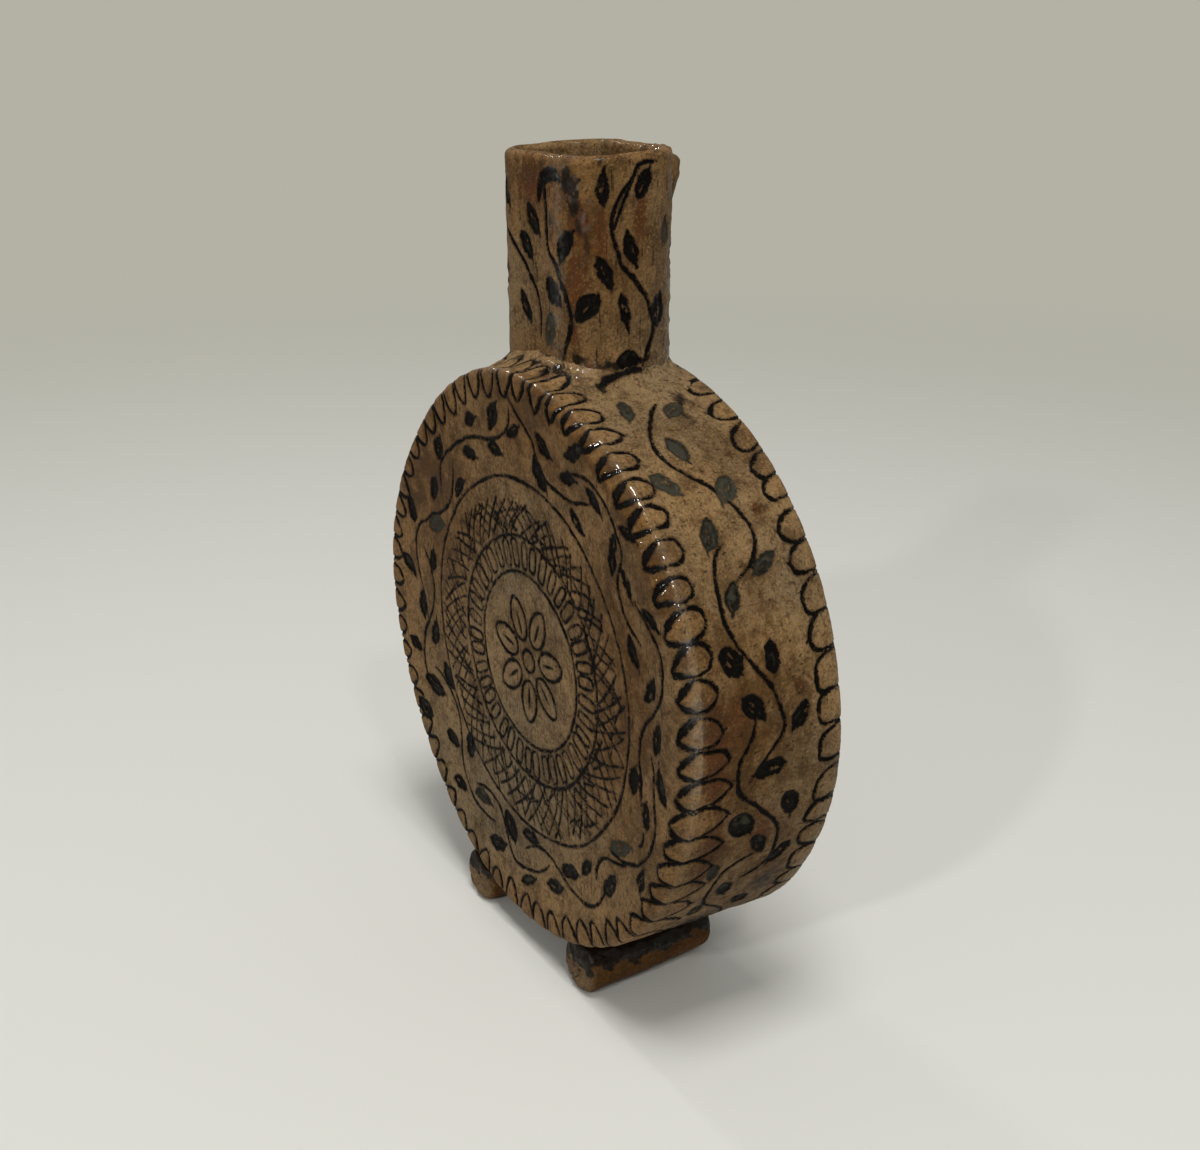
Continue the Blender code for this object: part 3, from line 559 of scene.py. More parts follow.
def pressBand(drawing, angle, y):
    # the seen stretch of vines, and its pattern carried on round the rest of the turn
    bend = -math.radians(1) * body["radius"]
    for offset, firstVine, kept, keptLeaves in bandWork["copies"]:
        shifted = signedTurn(np.degrees(angle) - offset)
        part = np.flatnonzero((shifted > kept[0]) & (shifted < kept[1]))
        places = placesOf(-np.radians(shifted[part]) * body["radius"], -y[part])
        local = dict(ink=drawing["ink"][part], tone=drawing["tone"][part])
        for number, points in enumerate(bandWork["vines"][firstVine:]):
            pressVine(local, places, np.array(points) * (bend, -1), bandWork["vineHalf"], 500 + 3 * number)
        for number, (at, along, *leaf) in enumerate(bandWork["leaves"]):
            if keptLeaves[0] < at < keptLeaves[1]:
                pressLeaf(local, places, -math.radians(at) * body["radius"], -along, *leaf, 600 + number)
        drawing["ink"][part], drawing["tone"][part] = local["ink"], local["tone"]


relief = dict(
    inkWaver=(0.10, 2.6), inkFray=(0.05, 1.3), groove=0.42, grooveEdge=(-0.12, 0.42),
    burr=0.09, burrPlace=0.5, burrWidth=0.3, puff=0.24, waves=((0.17, 38), (0.06, 7)), pits=(0.03, 2.9), shinePits=0.05,
)


def carve(drawing, places, seed):
    # how far the clay stands out: grooves under the ink, a burr beside them, puffed tongues and slow unevenness
    (waver, waverSize), (fray, fraySize), (pit, pitSize) = relief["inkWaver"], relief["inkFray"], relief["pits"]
    ink = drawing["ink"] + waver * wobble(places, waverSize, seed) + fray * wobble(places, fraySize, seed + 3)
    drawing["ink"] = ink
    return (relief["puff"] * drawing["puff"] - relief["groove"] * smooth(-ink, *relief["grooveEdge"])
            + relief["burr"] * np.exp(-((ink - relief["burrPlace"]) / relief["burrWidth"]) ** 2)
            + wobbles(places, relief["waves"], seed + 1)
            + (pit + relief["shinePits"] * drawing["shine"]) * wobble(places, pitSize, seed + 4))


def discGrid(cells):
    # a square grid bent into a disc: rings of squares become circles. Gives share of the radius, and angle
    line = np.linspace(-1, 1, cells + 1)
    u, v = np.meshgrid(line, line, indexing="ij")
    wide = abs(u) >= abs(v)
    slope = np.where(wide, v, u) / np.where(wide, np.where(u == 0, 1, u), np.where(v == 0, 1, v))
    quarter = np.where(wide, np.where(u < 0, np.pi, 0), np.where(v > 0, np.pi / 2, -np.pi / 2))
    angle = quarter + np.where(wide, 1, -1) * slope * np.pi / 4
    return np.maximum(abs(u), abs(v)).ravel(), angle.ravel()


def faceSlab(node, side, paint):
    # side -1 is the front. A disc of points with the dish, then rows over the bevel and the side to the joint
    share, angle = discGrid(body["cells"])
    outline, width = outlineRadius(angle, side * halfDepth), bevelWidth(angle, side)
    radius = share * (outline - width)
    inset = outline - radius
    dish = body["dish"] * smooth(inset - width, body["rim"], body["rim"] + body["slope"])
    x, z = radius * np.cos(angle), radius * np.sin(angle)
    drawing = newDrawing(len(x))
    look = tongues["front" if side < 0 else "back"]
    if side < 0:
        pressFace(drawing, placesOf(x, z), 7)
        smear(drawing, placesOf(x, z), faceWork["smears"])
    else:
        spin = math.radians(body["backSpin"])   # the back is worked like the front, mirrored and turned
        spun = placesOf(-x * math.cos(spin) - z * math.sin(spin), -x * math.sin(spin) + z * math.cos(spin))
        pressFace(drawing, spun, 57)
    pressTongues(drawing, angle, -inset, look, 3)
    out = carve(drawing, placesOf(x, side * halfDepth, z), 11) - body["skin"]
    disc = placesOf(x, side * (halfDepth - dish + out), z + centreZ)

    turned = signedTurn(ringAngles, fullTurn)
    inset, depth, reach, turn = (grid.ravel() for grid in edgeSection(turned, side))
    rows = len(inset) // turnSteps
    around = np.tile(turned, rows)
    y = side * (halfDepth - depth)
    radius = outlineRadius(around, y) - inset
    edgeDrawing = newDrawing(len(inset))
    pressTongues(edgeDrawing, around, reach, look, 3)
    out = carve(edgeDrawing, wheelPlaces(radius, around, y), 11) - body["skin"]
    edge = wheelPlaces(radius + out * np.sin(turn), around, y + side * out * np.cos(turn), centreZ)

    rimPoints = np.flatnonzero(share > 1 - 1e-9)
    order = np.round(angle[rimPoints] / fullTurn * turnSteps).astype(int) % turnSteps
    rim = np.empty(turnSteps, int)
    rim[order] = rimPoints
    line = len(disc) + np.arange(turnSteps)
    bridge = np.stack([rim, np.roll(rim, -1), np.roll(line, -1), line], 1)
    discQuads = gridQuads(body["cells"] + 1, body["cells"] + 1, around=False)[:, ::-1]
    quads = np.vstack([discQuads, bridge, gridQuads(rows, turnSteps) + len(disc)])
    cap = len(disc) + endCaps(rows, turnSteps)[1]
    fields = {field: np.concatenate([drawing[field], edgeDrawing[field]]) for field in drawing}
    makePiece(node, np.vstack([disc, edge]), quads, [cap[::-1]], fields, paint)


# the neck's plan: a box with round corners, walked round from the start of its front right corner
neck = dict(
    width=51.5, depth=35.0, corner=12.5, wall=4.5, x=-8.4, y=4.5, rise=60.8, flare=0.3, tiltBack=0.7, tiltRight=0.4,
    windowSpread=1.0, waistShare=0.55, waistTiltShare=0.30, columns=336, rows=140, lipRows=13, innerRows=30, skin=0.15,
    waves=((0.16, 19), (0.10, 6)), stainPits=0.20, shinePits=0.36, pitSize=1.7,
    collarHeight=5.0, collarFront=10.5, collarBack=1.5, collarSide=10.0, collarRows=40, collarSink=0.45,
    collarThickness=0.9, collarCreaseShade=0.75, collarPits=0.3,
    lapHeight=13.5, lapWidth=11.5, lapProud=3.5, lapIn=9.5, lapRows=56, lapColumns=56,
    # thickness of the lap as a share, at shares of its height from the foot up
    lapThickness=((0, 0.12, 0.35, 0.6, 0.76, 0.88, 0.96, 1), (0.06, 0.3, 0.58, 0.86, 1, 0.92, 0.66, 0.3)),
)
neckBox = (neck["x"] - neck["width"] / 2, neck["x"] + neck["width"] / 2, neck["y"] - neck["depth"] / 2,
           neck["y"] + neck["depth"] / 2)
shoulderZ = centreZ + body["radius"] + neck["rise"] - neck["wall"] / 2
arcLength = neck["corner"] * math.pi / 2
sideLengths = (arcLength, neck["depth"] - 2 * neck["corner"], arcLength, neck["width"] - 2 * neck["corner"]) * 2


def boxWalk(section, share, box, corner):
    # plan point and outward direction at a share of one of the eight sections: front right corner, right side,
    # back right corner, back, back left corner, left side, front left corner, front
    left, right, front, back = box
    width, depth = right - left - 2 * corner, back - front - 2 * corner
    start = np.array([-90, 0, 0, 90, 90, 180, 180, -90])[section]
    turn = np.radians(start + np.where(section % 2 == 0, 90 * share, 0))
    nx, ny = np.cos(turn), np.sin(turn)
    slideX = np.array([0, 0, 0, -width, 0, 0, 0, width])[section] * share
    slideY = np.array([0, depth, 0, 0, 0, -depth, 0, 0])[section] * share
    middleX = np.where(section < 4, right - corner, left + corner)
    middleY = np.where((section < 2) | (section > 5), front + corner, back - corner)
    return middleX + slideX + corner * nx, middleY + slideY + corner * ny, nx, ny


walk = np.arange(neck["columns"]) * sum(sideLengths) / neck["columns"]
starts = np.concatenate([[0], np.cumsum(sideLengths)])
walkSection = np.clip(np.searchsorted(starts, walk, side="right") - 1, 0, 7)
walkShare = (walk - starts[walkSection]) / np.array(sideLengths)[walkSection]
neckX, neckY, neckNx, neckNy = boxWalk(walkSection, walkShare, neckBox, neck["corner"])
walkSigned = np.where(walk > sum(sideLengths) / 2, walk - sum(sideLengths), walk)


def rimLift(x, y):
    # the rim leans: tiltRight * (x share of the half width) + tiltBack * (y share of the half depth)
    right, back = (x - neck["x"]) / (neck["width"] / 2), (y - neck["y"]) / (neck["depth"] / 2)
    return neck["tiltRight"] * right + neck["tiltBack"] * back


# neck work: places are (way round from the front right corner, height over the body's middle)
neckWork = dict(
    vines=(
        (((-7.2, 142.2), (-7.0, 137.9), (-6.8, 134.3), (-7.0, 130), (-6.3, 125.7), (-4.5, 122.1), (-2.0, 119.3),
          (0.1, 115.7), (2.3, 112.9), (4.1, 109.3), (4.8, 105.7), (4.4, 102.1), (3.0, 97.9), (2.6, 95.4)), 0.62),
        (((-30, 127.5), (-28.4, 125.7), (-24.9, 122.9), (-20.6, 119.3), (-17, 115.7), (-13.4, 112.1), (-11.3, 108.6),
          (-10.2, 105), (-10.6, 101.4), (-10.7, 97.9)), 0.48),
        (((31.2, 148.2), (28, 148), (25.1, 147.1), (23.4, 144.3), (20.9, 141.4), (18.7, 138.6), (17.3, 134.3),
          (16.9, 130), (18.4, 125.7), (20.1, 120.7), (23.7, 117.1), (26.9, 112.9), (29.4, 108.6), (30.5, 104.3),
          (30.5, 100.7), (29.1, 96.4), (26.9, 91.8)), 0.50),
        (((23, 143), (20.6, 138), (18.6, 133.6), (17.7, 130)), 0.42),
    ),
    arch=(((-10.6, 136.8), (-9.7, 140.3), (-7.6, 143), (-4.4, 144.4), (-1.4, 144.4), (0.8, 143.2)),
          (0.7, 1.5, 1.9, 2.0, 1.6, 0.6)),
    smears=dict(
        stain=(92, (
            (4.4, 142.4, 3.6, 3.0, 1.0), (3.2, 145.8, 2.0, 1.4, 0.8), (6.2, 137, 2.4, 3.4, 0.8),
            (7.4, 131.5, 1.5, 3.5, 0.6), (9.6, 127, 1.0, 7, 0.5), (12.2, 135, 0.9, 6, 0.4),
            (13.4, 148.6, 1.2, 1.6, 0.6), (19.2, 149.4, 1.6, 1.2, 0.6), (20, 93, 7.5, 1.5, 0.95),
            (26.5, 93.4, 3.5, 1.4, 0.7), (7, 94.6, 3.0, 2.0, 0.7), (1.5, 94.8, 2.4, 2.4, 0.6), (2.4, 109, 0.8, 6, 0.4),
            (12, 110, 0.8, 8, 0.35), (-2, 150, 6, 1, 0.35), (20, 137.4, 2.2, 5.6, 0.45), (-14, 90, 5, 1.4, 0.5),
            (35, 90, 4, 1.2, 0.4), (-27, 137, 1.0, 7, 0.35))),
        rust=(94, (
            (6.2, 119.5, 3.2, 4.0, 1.0), (6.4, 115, 4.0, 3.6, 1.0), (6.4, 111, 2.4, 3.4, 0.9),
            (7.2, 133, 3.6, 6.5, 0.75), (-12, 141.5, 11, 6.5, 0.75), (6, 101, 1.8, 3.6, 0.8), (14, 128, 3, 12, 0.6),
            (26, 134, 3, 12, 0.55), (-4, 128, 2, 9, 0.5), (10, 92, 3, 4, 0.5), (9, 122, 5, 16, 0.35))),
        warm=(95, ((8, 132, 11, 16, 1.0), (18, 118, 14, 22, 0.45), (-14, 140, 14, 12, 0.7), (2, 104, 14, 14, 0.5))),
        shine=(89, (
            (6, 141, 2.6, 4, 0.8), (9, 134, 1.6, 5, 0.6), (1.5, 147, 3, 1.6, 0.8), (5.5, 150, 3.2, 1.6, 1.0),
            (10, 93, 3, 2, 0.6), (22, 94, 2.4, 1.4, 0.6))),
    ),
    # places of these: x and y
    lipSmears=dict(shine=(88, ((7, 17.5, 9, 3.5, 1.0), (4, -12, 3, 3, 0.7)))),
    leaves=(
        (-13.4, 131.4, -50, 10, 5.4, 0.85), (-18.4, 123.2, -45, 9.4, 5, 1), (-18.8, 106.1, -55, 9.6, 4.4, 0.9),
        (-3.1, 112.5, -40, 9.6, 5.8, 1), (-5.6, 101.1, 75, 9, 6, 0.25), (2.6, 125, 60, 10.2, 5.4, 1),
        (10.1, 108.6, 50, 9.2, 5.6, 1), (14.8, 118.6, -65, 10.4, 4, 1), (14.4, 141.4, 90, 9.6, 3.2, 1),
        (26.9, 142.1, 65, 8.4, 4.4, 1), (23.4, 125, -70, 10.4, 4, 1), (21.2, 107.9, -75, 10.4, 3.6, 1),
        (33, 107.1, 85, 9.6, 4.6, 1), (35.1, 128.6, 90, 7, 3.2, 0.4), (22.3, 93.6, 0, 6.4, 4.8, 1),
        (-30, 138, -60, 9, 4.4, 0.8), (-33, 112, 50, 9, 4.4, 0.9), (-42, 124, 70, 9.5, 4.6, 0.8),
        (-50, 136, -60, 9, 4.4, 0.8), (-56, 118, 60, 9, 4.6, 0.9), (-64, 130, -50, 9, 4.4, 0.8),
        (-70, 106, 70, 9, 4.4, 0.9), (44, 118, -60, 9, 4.2, 0.9), (50, 136, 60, 9.4, 4.4, 0.9),
        (56, 110, 50, 9, 4.6, 0.9), (64, 126, -50, 9.4, 4.4, 0.9), (70, 142, 30, 8.6, 4, 0.9),
    ),
    backVines=(
        (((40, 140), (43, 132), (41, 124), (45, 115), (51, 110), (55, 101), (53, 94)), 0.48),
        (((58, 146), (62, 138), (60, 130), (57, 122), (61, 113), (67, 108), (70, 98)), 0.48),
        (((-38, 146), (-42, 138), (-39, 130), (-36, 121), (-40, 112), (-46, 105), (-45, 96)), 0.48),
        (((-60, 143), (-57, 134), (-60, 125), (-65, 117), (-62, 108), (-57, 100), (-58, 94)), 0.48),
    ),
)


def neckTube(paint):
    # rows run up the outside from the body's crown, over a half-round lip and down the inside
    lip = neck["wall"] / 2
    upShares = np.linspace(0, 1, neck["rows"])
    lipTurns = np.linspace(0, np.pi, neck["lipRows"])[1:]
    downShares = np.linspace(1, 0, neck["innerRows"])[1:]
    footZ = crownHeight(neckX, neckY) + 0.1
    wellZ = footZ - body["stripWall"]
    lift = rimLift(neckX, neckY)
    tilt = np.interp(upShares, (0, neck["waistShare"], 1), (0, neck["waistTiltShare"], 1))
    grow = np.interp(upShares, (0, neck["waistShare"], 1), (0, 0, neck["flare"]))
    growth = np.concatenate([grow, neck["flare"] - lip + lip * np.cos(lipTurns),
                             np.full(len(downShares), neck["flare"] - neck["wall"])])
    z = np.vstack([footZ + (shoulderZ - footZ) * upShares[:, None] + lift * tilt[:, None],
                   shoulderZ + lift + lip * np.sin(lipTurns)[:, None],
                   wellZ + (shoulderZ + lift - wellZ) * downShares[:, None]])
    outward = np.concatenate([np.ones(len(grow)), np.cos(lipTurns), -np.ones(len(downShares))])
    upward = np.concatenate([np.zeros(len(grow)), np.sin(lipTurns), np.zeros(len(downShares))])
    x = neckX + neckNx * growth[:, None]
    y = neckY + neckNy * growth[:, None]

    drawing = newDrawing(z.size)
    outside = np.repeat(outward > 0.2, neck["columns"])
    places = placesOf(walkSigned, z - centreZ)[outside]
    local = newDrawing(len(places))
    for number, (points, half) in enumerate(neckWork["vines"] + neckWork["backVines"]):
        pressVine(local, places, points, half, 800 + 3 * number)
    arch, archHalf = smoothLine(neckWork["arch"][0]), neckWork["arch"][1]
    shares = np.linspace(0, 1, len(arch))
    press(local, places, arch, np.interp(shares, np.linspace(0, 1, len(archHalf)), archHalf))
    for number, leaf in enumerate(neckWork["leaves"]):
        pressLeaf(local, places, *leaf, 900 + number)
    smear(local, places, neckWork["smears"])
    for field in drawing:
        drawing[field][outside] = local[field]
    space = placesOf(x, y, z)
    smear(drawing, space[:, :2], neckWork["lipSmears"])
    pits = neck["stainPits"] * drawing["stain"] + neck["shinePits"] * drawing["shine"]
    out = carve(drawing, space, 21) - neck["skin"]
    out = out + wobbles(space, neck["waves"], 77) + pits * wobble(space, neck["pitSize"], 79)
    out = out.reshape(z.shape)
    side = out * outward[:, None]
    points = placesOf(x + neckNx * side, y + neckNy * side, z + out * upward[:, None])
    makePiece("neck_tube", points, gridQuads(len(z), neck["columns"], closed=True), [], drawing, paint)


# the collar's work, in the plan's x and y: a broad black stroke along its right side, and smears
collarWork = dict(
    stroke=((20.4, -9.4), (19.6, -7.4), (18.7, -5), (18.1, -1.5), (17.9, 2.5), (17.9, 6)),
    strokeHalf=(0.3, 0.8, 0.9, 0.55, 0.5, 0.2),
    smears=dict(
        stain=(96, ((18.6, -6, 1.0, 3, 0.8), (18, 3, 0.7, 6, 0.7), (20.6, -9, 2.0, 1.4, 0.8), (8.5, -15.5, 4, 1.8, 0.9),
                    (5, -17.5, 2.2, 2.2, 0.8), (-2, -16, 3, 1.4, 0.6), (-14, -16.5, 5, 1.4, 0.5))),
        rust=(97, ((7.5, -19, 3.5, 3, 0.5), (15, -13, 3, 3, 0.35))),
        shine=(87, ((12, -14, 4.2, 3.2, 1.0), (9, -19.5, 3, 2, 0.8), (26, -12, 2.6, 3, 0.8), (19, -14, 3, 3, 0.6))),
    ),
)


def collar(paint):
    # a hollow fillet: height = 0.3 (1 - s)^6 + 0.7 (1 - s)^1.35 of the full height, s running out over the body
    share = np.linspace(0, 1, neck["collarRows"])[:, None] ** 1.25
    outerBox = (neckBox[0] - neck["collarSide"], neckBox[1] + neck["collarSide"], neckBox[2] - neck["collarFront"],
                neckBox[3] + neck["collarBack"])
    farX, farY, _, _ = boxWalk(walkSection, walkShare, outerBox, neck["corner"])
    nearX, nearY = neckX - neck["collarSink"] * neckNx, neckY - neck["collarSink"] * neckNy
    far = placesOf(farX, farY)
    ragged = 1 - 0.10 * (0.5 + 0.5 * wobble(far, 11, 31)) - 0.04 * (0.5 + 0.5 * wobble(far, 4, 32))
    x = nearX + (farX - nearX) * share * ragged
    y = nearY + (farY - nearY) * share * ragged
    plan = placesOf(x, y)
    height = neck["collarHeight"] * (0.3 * (1 - share) ** 6 + 0.7 * (1 - share) ** 1.35)
    crown = crownHeight(x, y)
    lump = 1 + 0.10 * wobble(plan, 9, 33).reshape(x.shape)
    z = crown - neck["collarSink"] + height * lump

    angle = np.arctan2(crown - centreZ, x).ravel()
    drawing = newDrawing(x.size)
    pressTongues(drawing, angle, halfDepth + y.ravel() - edgeDrop(angle, -1), tongues["front"], 3)
    out = carve(drawing, placesOf(x, y, z), 11).reshape(x.shape)
    smear(drawing, plan, collarWork["smears"])
    press(drawing, plan, np.array(collarWork["stroke"]), np.array(collarWork["strokeHalf"]))
    # painted shade: a dark band on the collar close to the neck, in the crease where the neck meets the body
    creaseShade = neck["collarCreaseShade"] * (1 - smooth(share, 0, 0.16)) + 0 * x
    drawing["stain"] = np.maximum(drawing["stain"], creaseShade.ravel() * np.clip(0.5 + 0.8 * wobble(plan, 5, 34), 0, 1))
    pits = neck["collarPits"] * drawing["shine"] * wobble(plan, neck["pitSize"], 35)
    z = z + out * smooth(share, 0.05, 0.4) + pits.reshape(z.shape)
    under = crown[[-1, 0]] - neck["collarThickness"]
    points = np.vstack([placesOf(x, y, z), placesOf(x[[-1, 0]], y[[-1, 0]], under)])
    quads = gridQuads(len(share) + 2, neck["columns"], closed=True)
    makePiece("neck_collar", points, quads, [], extended(drawing, 2 * neck["columns"]), paint)


def lap(paint):
    # an upright lap of clay: half-ellipse sections, width = lapWidth * (0.35 + 0.65 * thickness) and proud of the
    # wall by lapProud * thickness
    rows, columns = neck["lapRows"], neck["lapColumns"]
    h = np.linspace(0, 1, rows)[:, None]
    t = np.arange(columns) * fullTurn / columns
    thickness = np.interp(h, *neck["lapThickness"])
    half = neck["lapWidth"] / 2 * (0.35 + 0.65 * thickness)
    middle = neckBox[1] - neck["lapIn"]
    top = shoulderZ + rimLift(middle, neckBox[3])
    reach = np.where(np.sin(t) > 0, neck["lapProud"] * thickness + 0.2, 0.8 + 0 * thickness)
    x = middle + half * np.cos(t)
    z = top - 0.25 - neck["lapHeight"] * (1 - h) + 0 * x
    seat = np.clip(x - (neckBox[1] - neck["corner"]), 0, neck["corner"])
    wallY = neckBox[3] - neck["corner"] + np.sqrt(neck["corner"] ** 2 - np.minimum(seat, neck["corner"] * 0.98) ** 2)
    lump = 1 + 0.08 * wobble(placesOf(x, z), 5, 41).reshape(x.shape)
    y = wallY + reach * np.sin(t) * lump - 0.15
    drawing = newDrawing(rows * columns)
    makePiece("neck_lap", placesOf(x, y, z), gridQuads(rows, columns), endCaps(rows, columns), drawing, paint)


def sideStrip(paint):
    # rows run from front to back round the whole turn, outside and inside. A window under the neck opens into the body
    widths = np.linspace(-seamY + body["slit"] / 2, seamY - body["slit"] / 2, body["stripRows"])
    y, angle = (grid.ravel() for grid in np.meshgrid(widths, ringAngles, indexing="ij"))
    angle = signedTurn(angle, fullTurn)
    drawing = newDrawing(len(y))
    pressBand(drawing, angle, y)
    pressTongues(drawing, angle, halfDepth + y - edgeDrop(angle, -1), tongues["front"], 3)
    pressTongues(drawing, angle, halfDepth - y - edgeDrop(angle, 1), tongues["back"], 3)
    smear(drawing, placesOf(np.degrees(angle), y), bandWork["smears"])
    radius = outlineRadius(angle, y)
    radius = radius + carve(drawing, wheelPlaces(radius, angle, y), 11) - body["skin"]
    outer = wheelPlaces(radius, angle, y, centreZ)

    left, right, front, back = neckBox
    inset = neck["wall"] - neck["windowSpread"]
    rowA, rowB = np.searchsorted(widths, (front + inset, back - inset))
    columnA, columnB = (int(math.acos(x / body["radius"]) / fullTurn * turnSteps)
                        for x in (right - inset, left + inset))
    y, angle = (grid.ravel() for grid in np.meshgrid(widths[[0, rowA, rowB, -1]], ringAngles, indexing="ij"))
    inner = wheelPlaces(outlineRadius(angle, y) - body["stripWall"], angle, y, centreZ)

    def opened(rows, rowLow, rowHigh):
        # the cells round the window
        quads = gridQuads(rows, turnSteps)
        row, column = np.divmod(quads[:, 0], turnSteps)
        return quads[~((row >= rowLow) & (row < rowHigh) & (column >= columnA) & (column < columnB))]

    first = len(outer)
    line = np.arange(turnSteps)
    after = np.roll(line, -1)
    lastOuter, lastInner = (len(widths) - 1) * turnSteps, first + 3 * turnSteps
    window = np.arange(columnA, columnB)
    outerA, outerB = rowA * turnSteps + window, rowB * turnSteps + window
    innerA, innerB = first + turnSteps + window, first + 2 * turnSteps + window
    ends = ((line, first + line, first + after, after),
            (lastOuter + line, lastOuter + after, lastInner + after, lastInner + line),
            (outerA, outerA + 1, innerA + 1, innerA), (outerB, innerB, innerB + 1, outerB + 1))
    quads = np.vstack([opened(len(widths), rowA, rowB), opened(4, 1, 2)[:, ::-1] + first,
                       *(np.stack(corners, 1) for corners in ends)])
    sill = np.arange(rowA, rowB + 1) * turnSteps
    frontInner, backInner = first + turnSteps, first + 2 * turnSteps
    jambs = [np.concatenate([[frontInner + columnA, backInner + columnA], (sill + columnA)[::-1]]),
             np.concatenate([[backInner + columnB, frontInner + columnB], sill + columnB])]
    makePiece("side_strip", np.vstack([outer, inner]), quads, jambs, extended(drawing, len(inner)), paint)


# feet: rolls that lie front to back
feet = dict(
    radius=9.3, length=49.5, endRound=3.6, flat=0.8, skin=0.15, seatGap=0.12,
    columns=120, step=0.5, capRows=16, roundRows=9,
    # radius as a share, at shares of the length from the front
    tapers=((0, 0.70, 1), (1, 0.93, 0.84)),
    places=dict(left_foot=-2.6, right_foot=-0.7),
    lumps=((0.20, 13), (0.12, 4.5), (0.05, 1.6)), lumpSink=0.22, chips=((0.32, 4.2), (0.12, 1.7)), chipSink=0.5,
    # black above: its lower edge as shares of the height, how frayed it is, and smears by place across and up
    stainEdge=(0.47, 0.72), stainFray=((0.10, 6), (0.07, 2)), crackSize=5.0, crackEdge=(0.03, 0.16), crackStain=0.95,
    stains=((-7.5, 12.5, 2.6, 3.4, 0.95), (-9.3, 7, 1.0, 3.0, 0.5), (8.5, 14, 2.4, 2.0, 0.8)), stainShine=0.35,
)


def foot(node, paint, seed):
    # a round profile carried from front to back, ends rounded, pressed flat below and hollowed where the body sits
    low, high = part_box(node)
    middleX, middleY = (low.x + high.x) * 500, feet["places"][node]
    length, bend = feet["length"], feet["endRound"]
    front, back = middleY - length / 2, middleY + length / 2
    capSteps = np.linspace(0.02, 1, feet["capRows"])
    turns = np.linspace(0, np.pi / 2, feet["roundRows"])[1:]
    straight = np.arange(front + bend, back - bend, feet["step"])
    radii = feet["radius"] * np.interp((straight - front) / length, *feet["tapers"]) - feet["skin"]
    rowY = np.concatenate([np.full(len(capSteps), front), front + bend * (1 - np.cos(turns)), straight[1:],
                           back - bend * (1 - np.cos(turns[::-1])), np.full(len(capSteps), back)])
    rowR = np.concatenate([(radii[0] - bend) * capSteps, radii[0] - bend * (1 - np.sin(turns)), radii[1:],
                           radii[-1] - bend * (1 - np.sin(turns[::-1])), (radii[-1] - bend) * capSteps[::-1]])
    t = np.arange(feet["columns"]) * fullTurn / feet["columns"]
    x, z = rowR[:, None] * np.cos(t), rowR[:, None] * np.sin(t)
    y = rowY[:, None] + 0 * x
    space = placesOf(x, y, z)
    lump = wobbles(space, feet["lumps"], seed).reshape(x.shape) - feet["lumpSink"]
    chipped = wobbles(space[:, ::2], feet["chips"], seed + 6).reshape(x.shape) - feet["chipSink"]
    atEnd = smooth(abs(rowY - middleY), length / 2 - bend, length / 2)[:, None]
    endward = np.sign(rowY - middleY)[:, None]
    x = x + lump * (1 - atEnd * 0.8) * np.cos(t) + middleX
    z = z + lump * (1 - atEnd * 0.8) * np.sin(t)
    y = y + endward * atEnd * (lump * 1.5 + chipped)
    z = np.maximum(z + feet["radius"] - feet["flat"], 0)
    angle = np.arctan2(z - centreZ, x)
    push = np.maximum(outlineRadius(angle, y) + feet["seatGap"] - np.hypot(x, z - centreZ), 0)
    x = x + push * np.cos(angle)
    z = np.maximum(z + push * np.sin(angle), 0)
    points = placesOf(x, y, z)

    drawing = newDrawing(len(points))
    height = z.ravel() / (2 * feet["radius"] - feet["flat"])
    drawing["stain"] = smooth(height + wobbles(points, feet["stainFray"], seed + 3), *feet["stainEdge"])
    smear(drawing, placesOf(points[:, 0] - middleX, points[:, 2]), dict(stain=(seed + 5, feet["stains"])))
    drawing["shine"] = feet["stainShine"] * drawing["stain"]
    ends = np.repeat(atEnd[:, 0] * (endward[:, 0] < 0), feet["columns"])
    cracks = 1 - smooth(abs(wobble(points, feet["crackSize"], seed + 9)), *feet["crackEdge"])
    cracks = cracks * smooth(wobble(points, 9, seed + 8), -0.2, 0.4)
    drawing["stain"] = np.maximum(drawing["stain"], ends * feet["crackStain"] * cracks)
    drawing["puff"] = ends * smooth(1 - drawing["stain"], 0.4, 1)
    # painted shade: the sides darken towards the top, where the body above shades them
    drawing["warm"] = (1 - ends) * (0.25 + 0.75 * smooth(height, 0.08, 0.45))
    rows, columns = len(rowY), feet["columns"]
    makePiece(node, points, gridQuads(rows, columns), endCaps(rows, columns), drawing, paint)


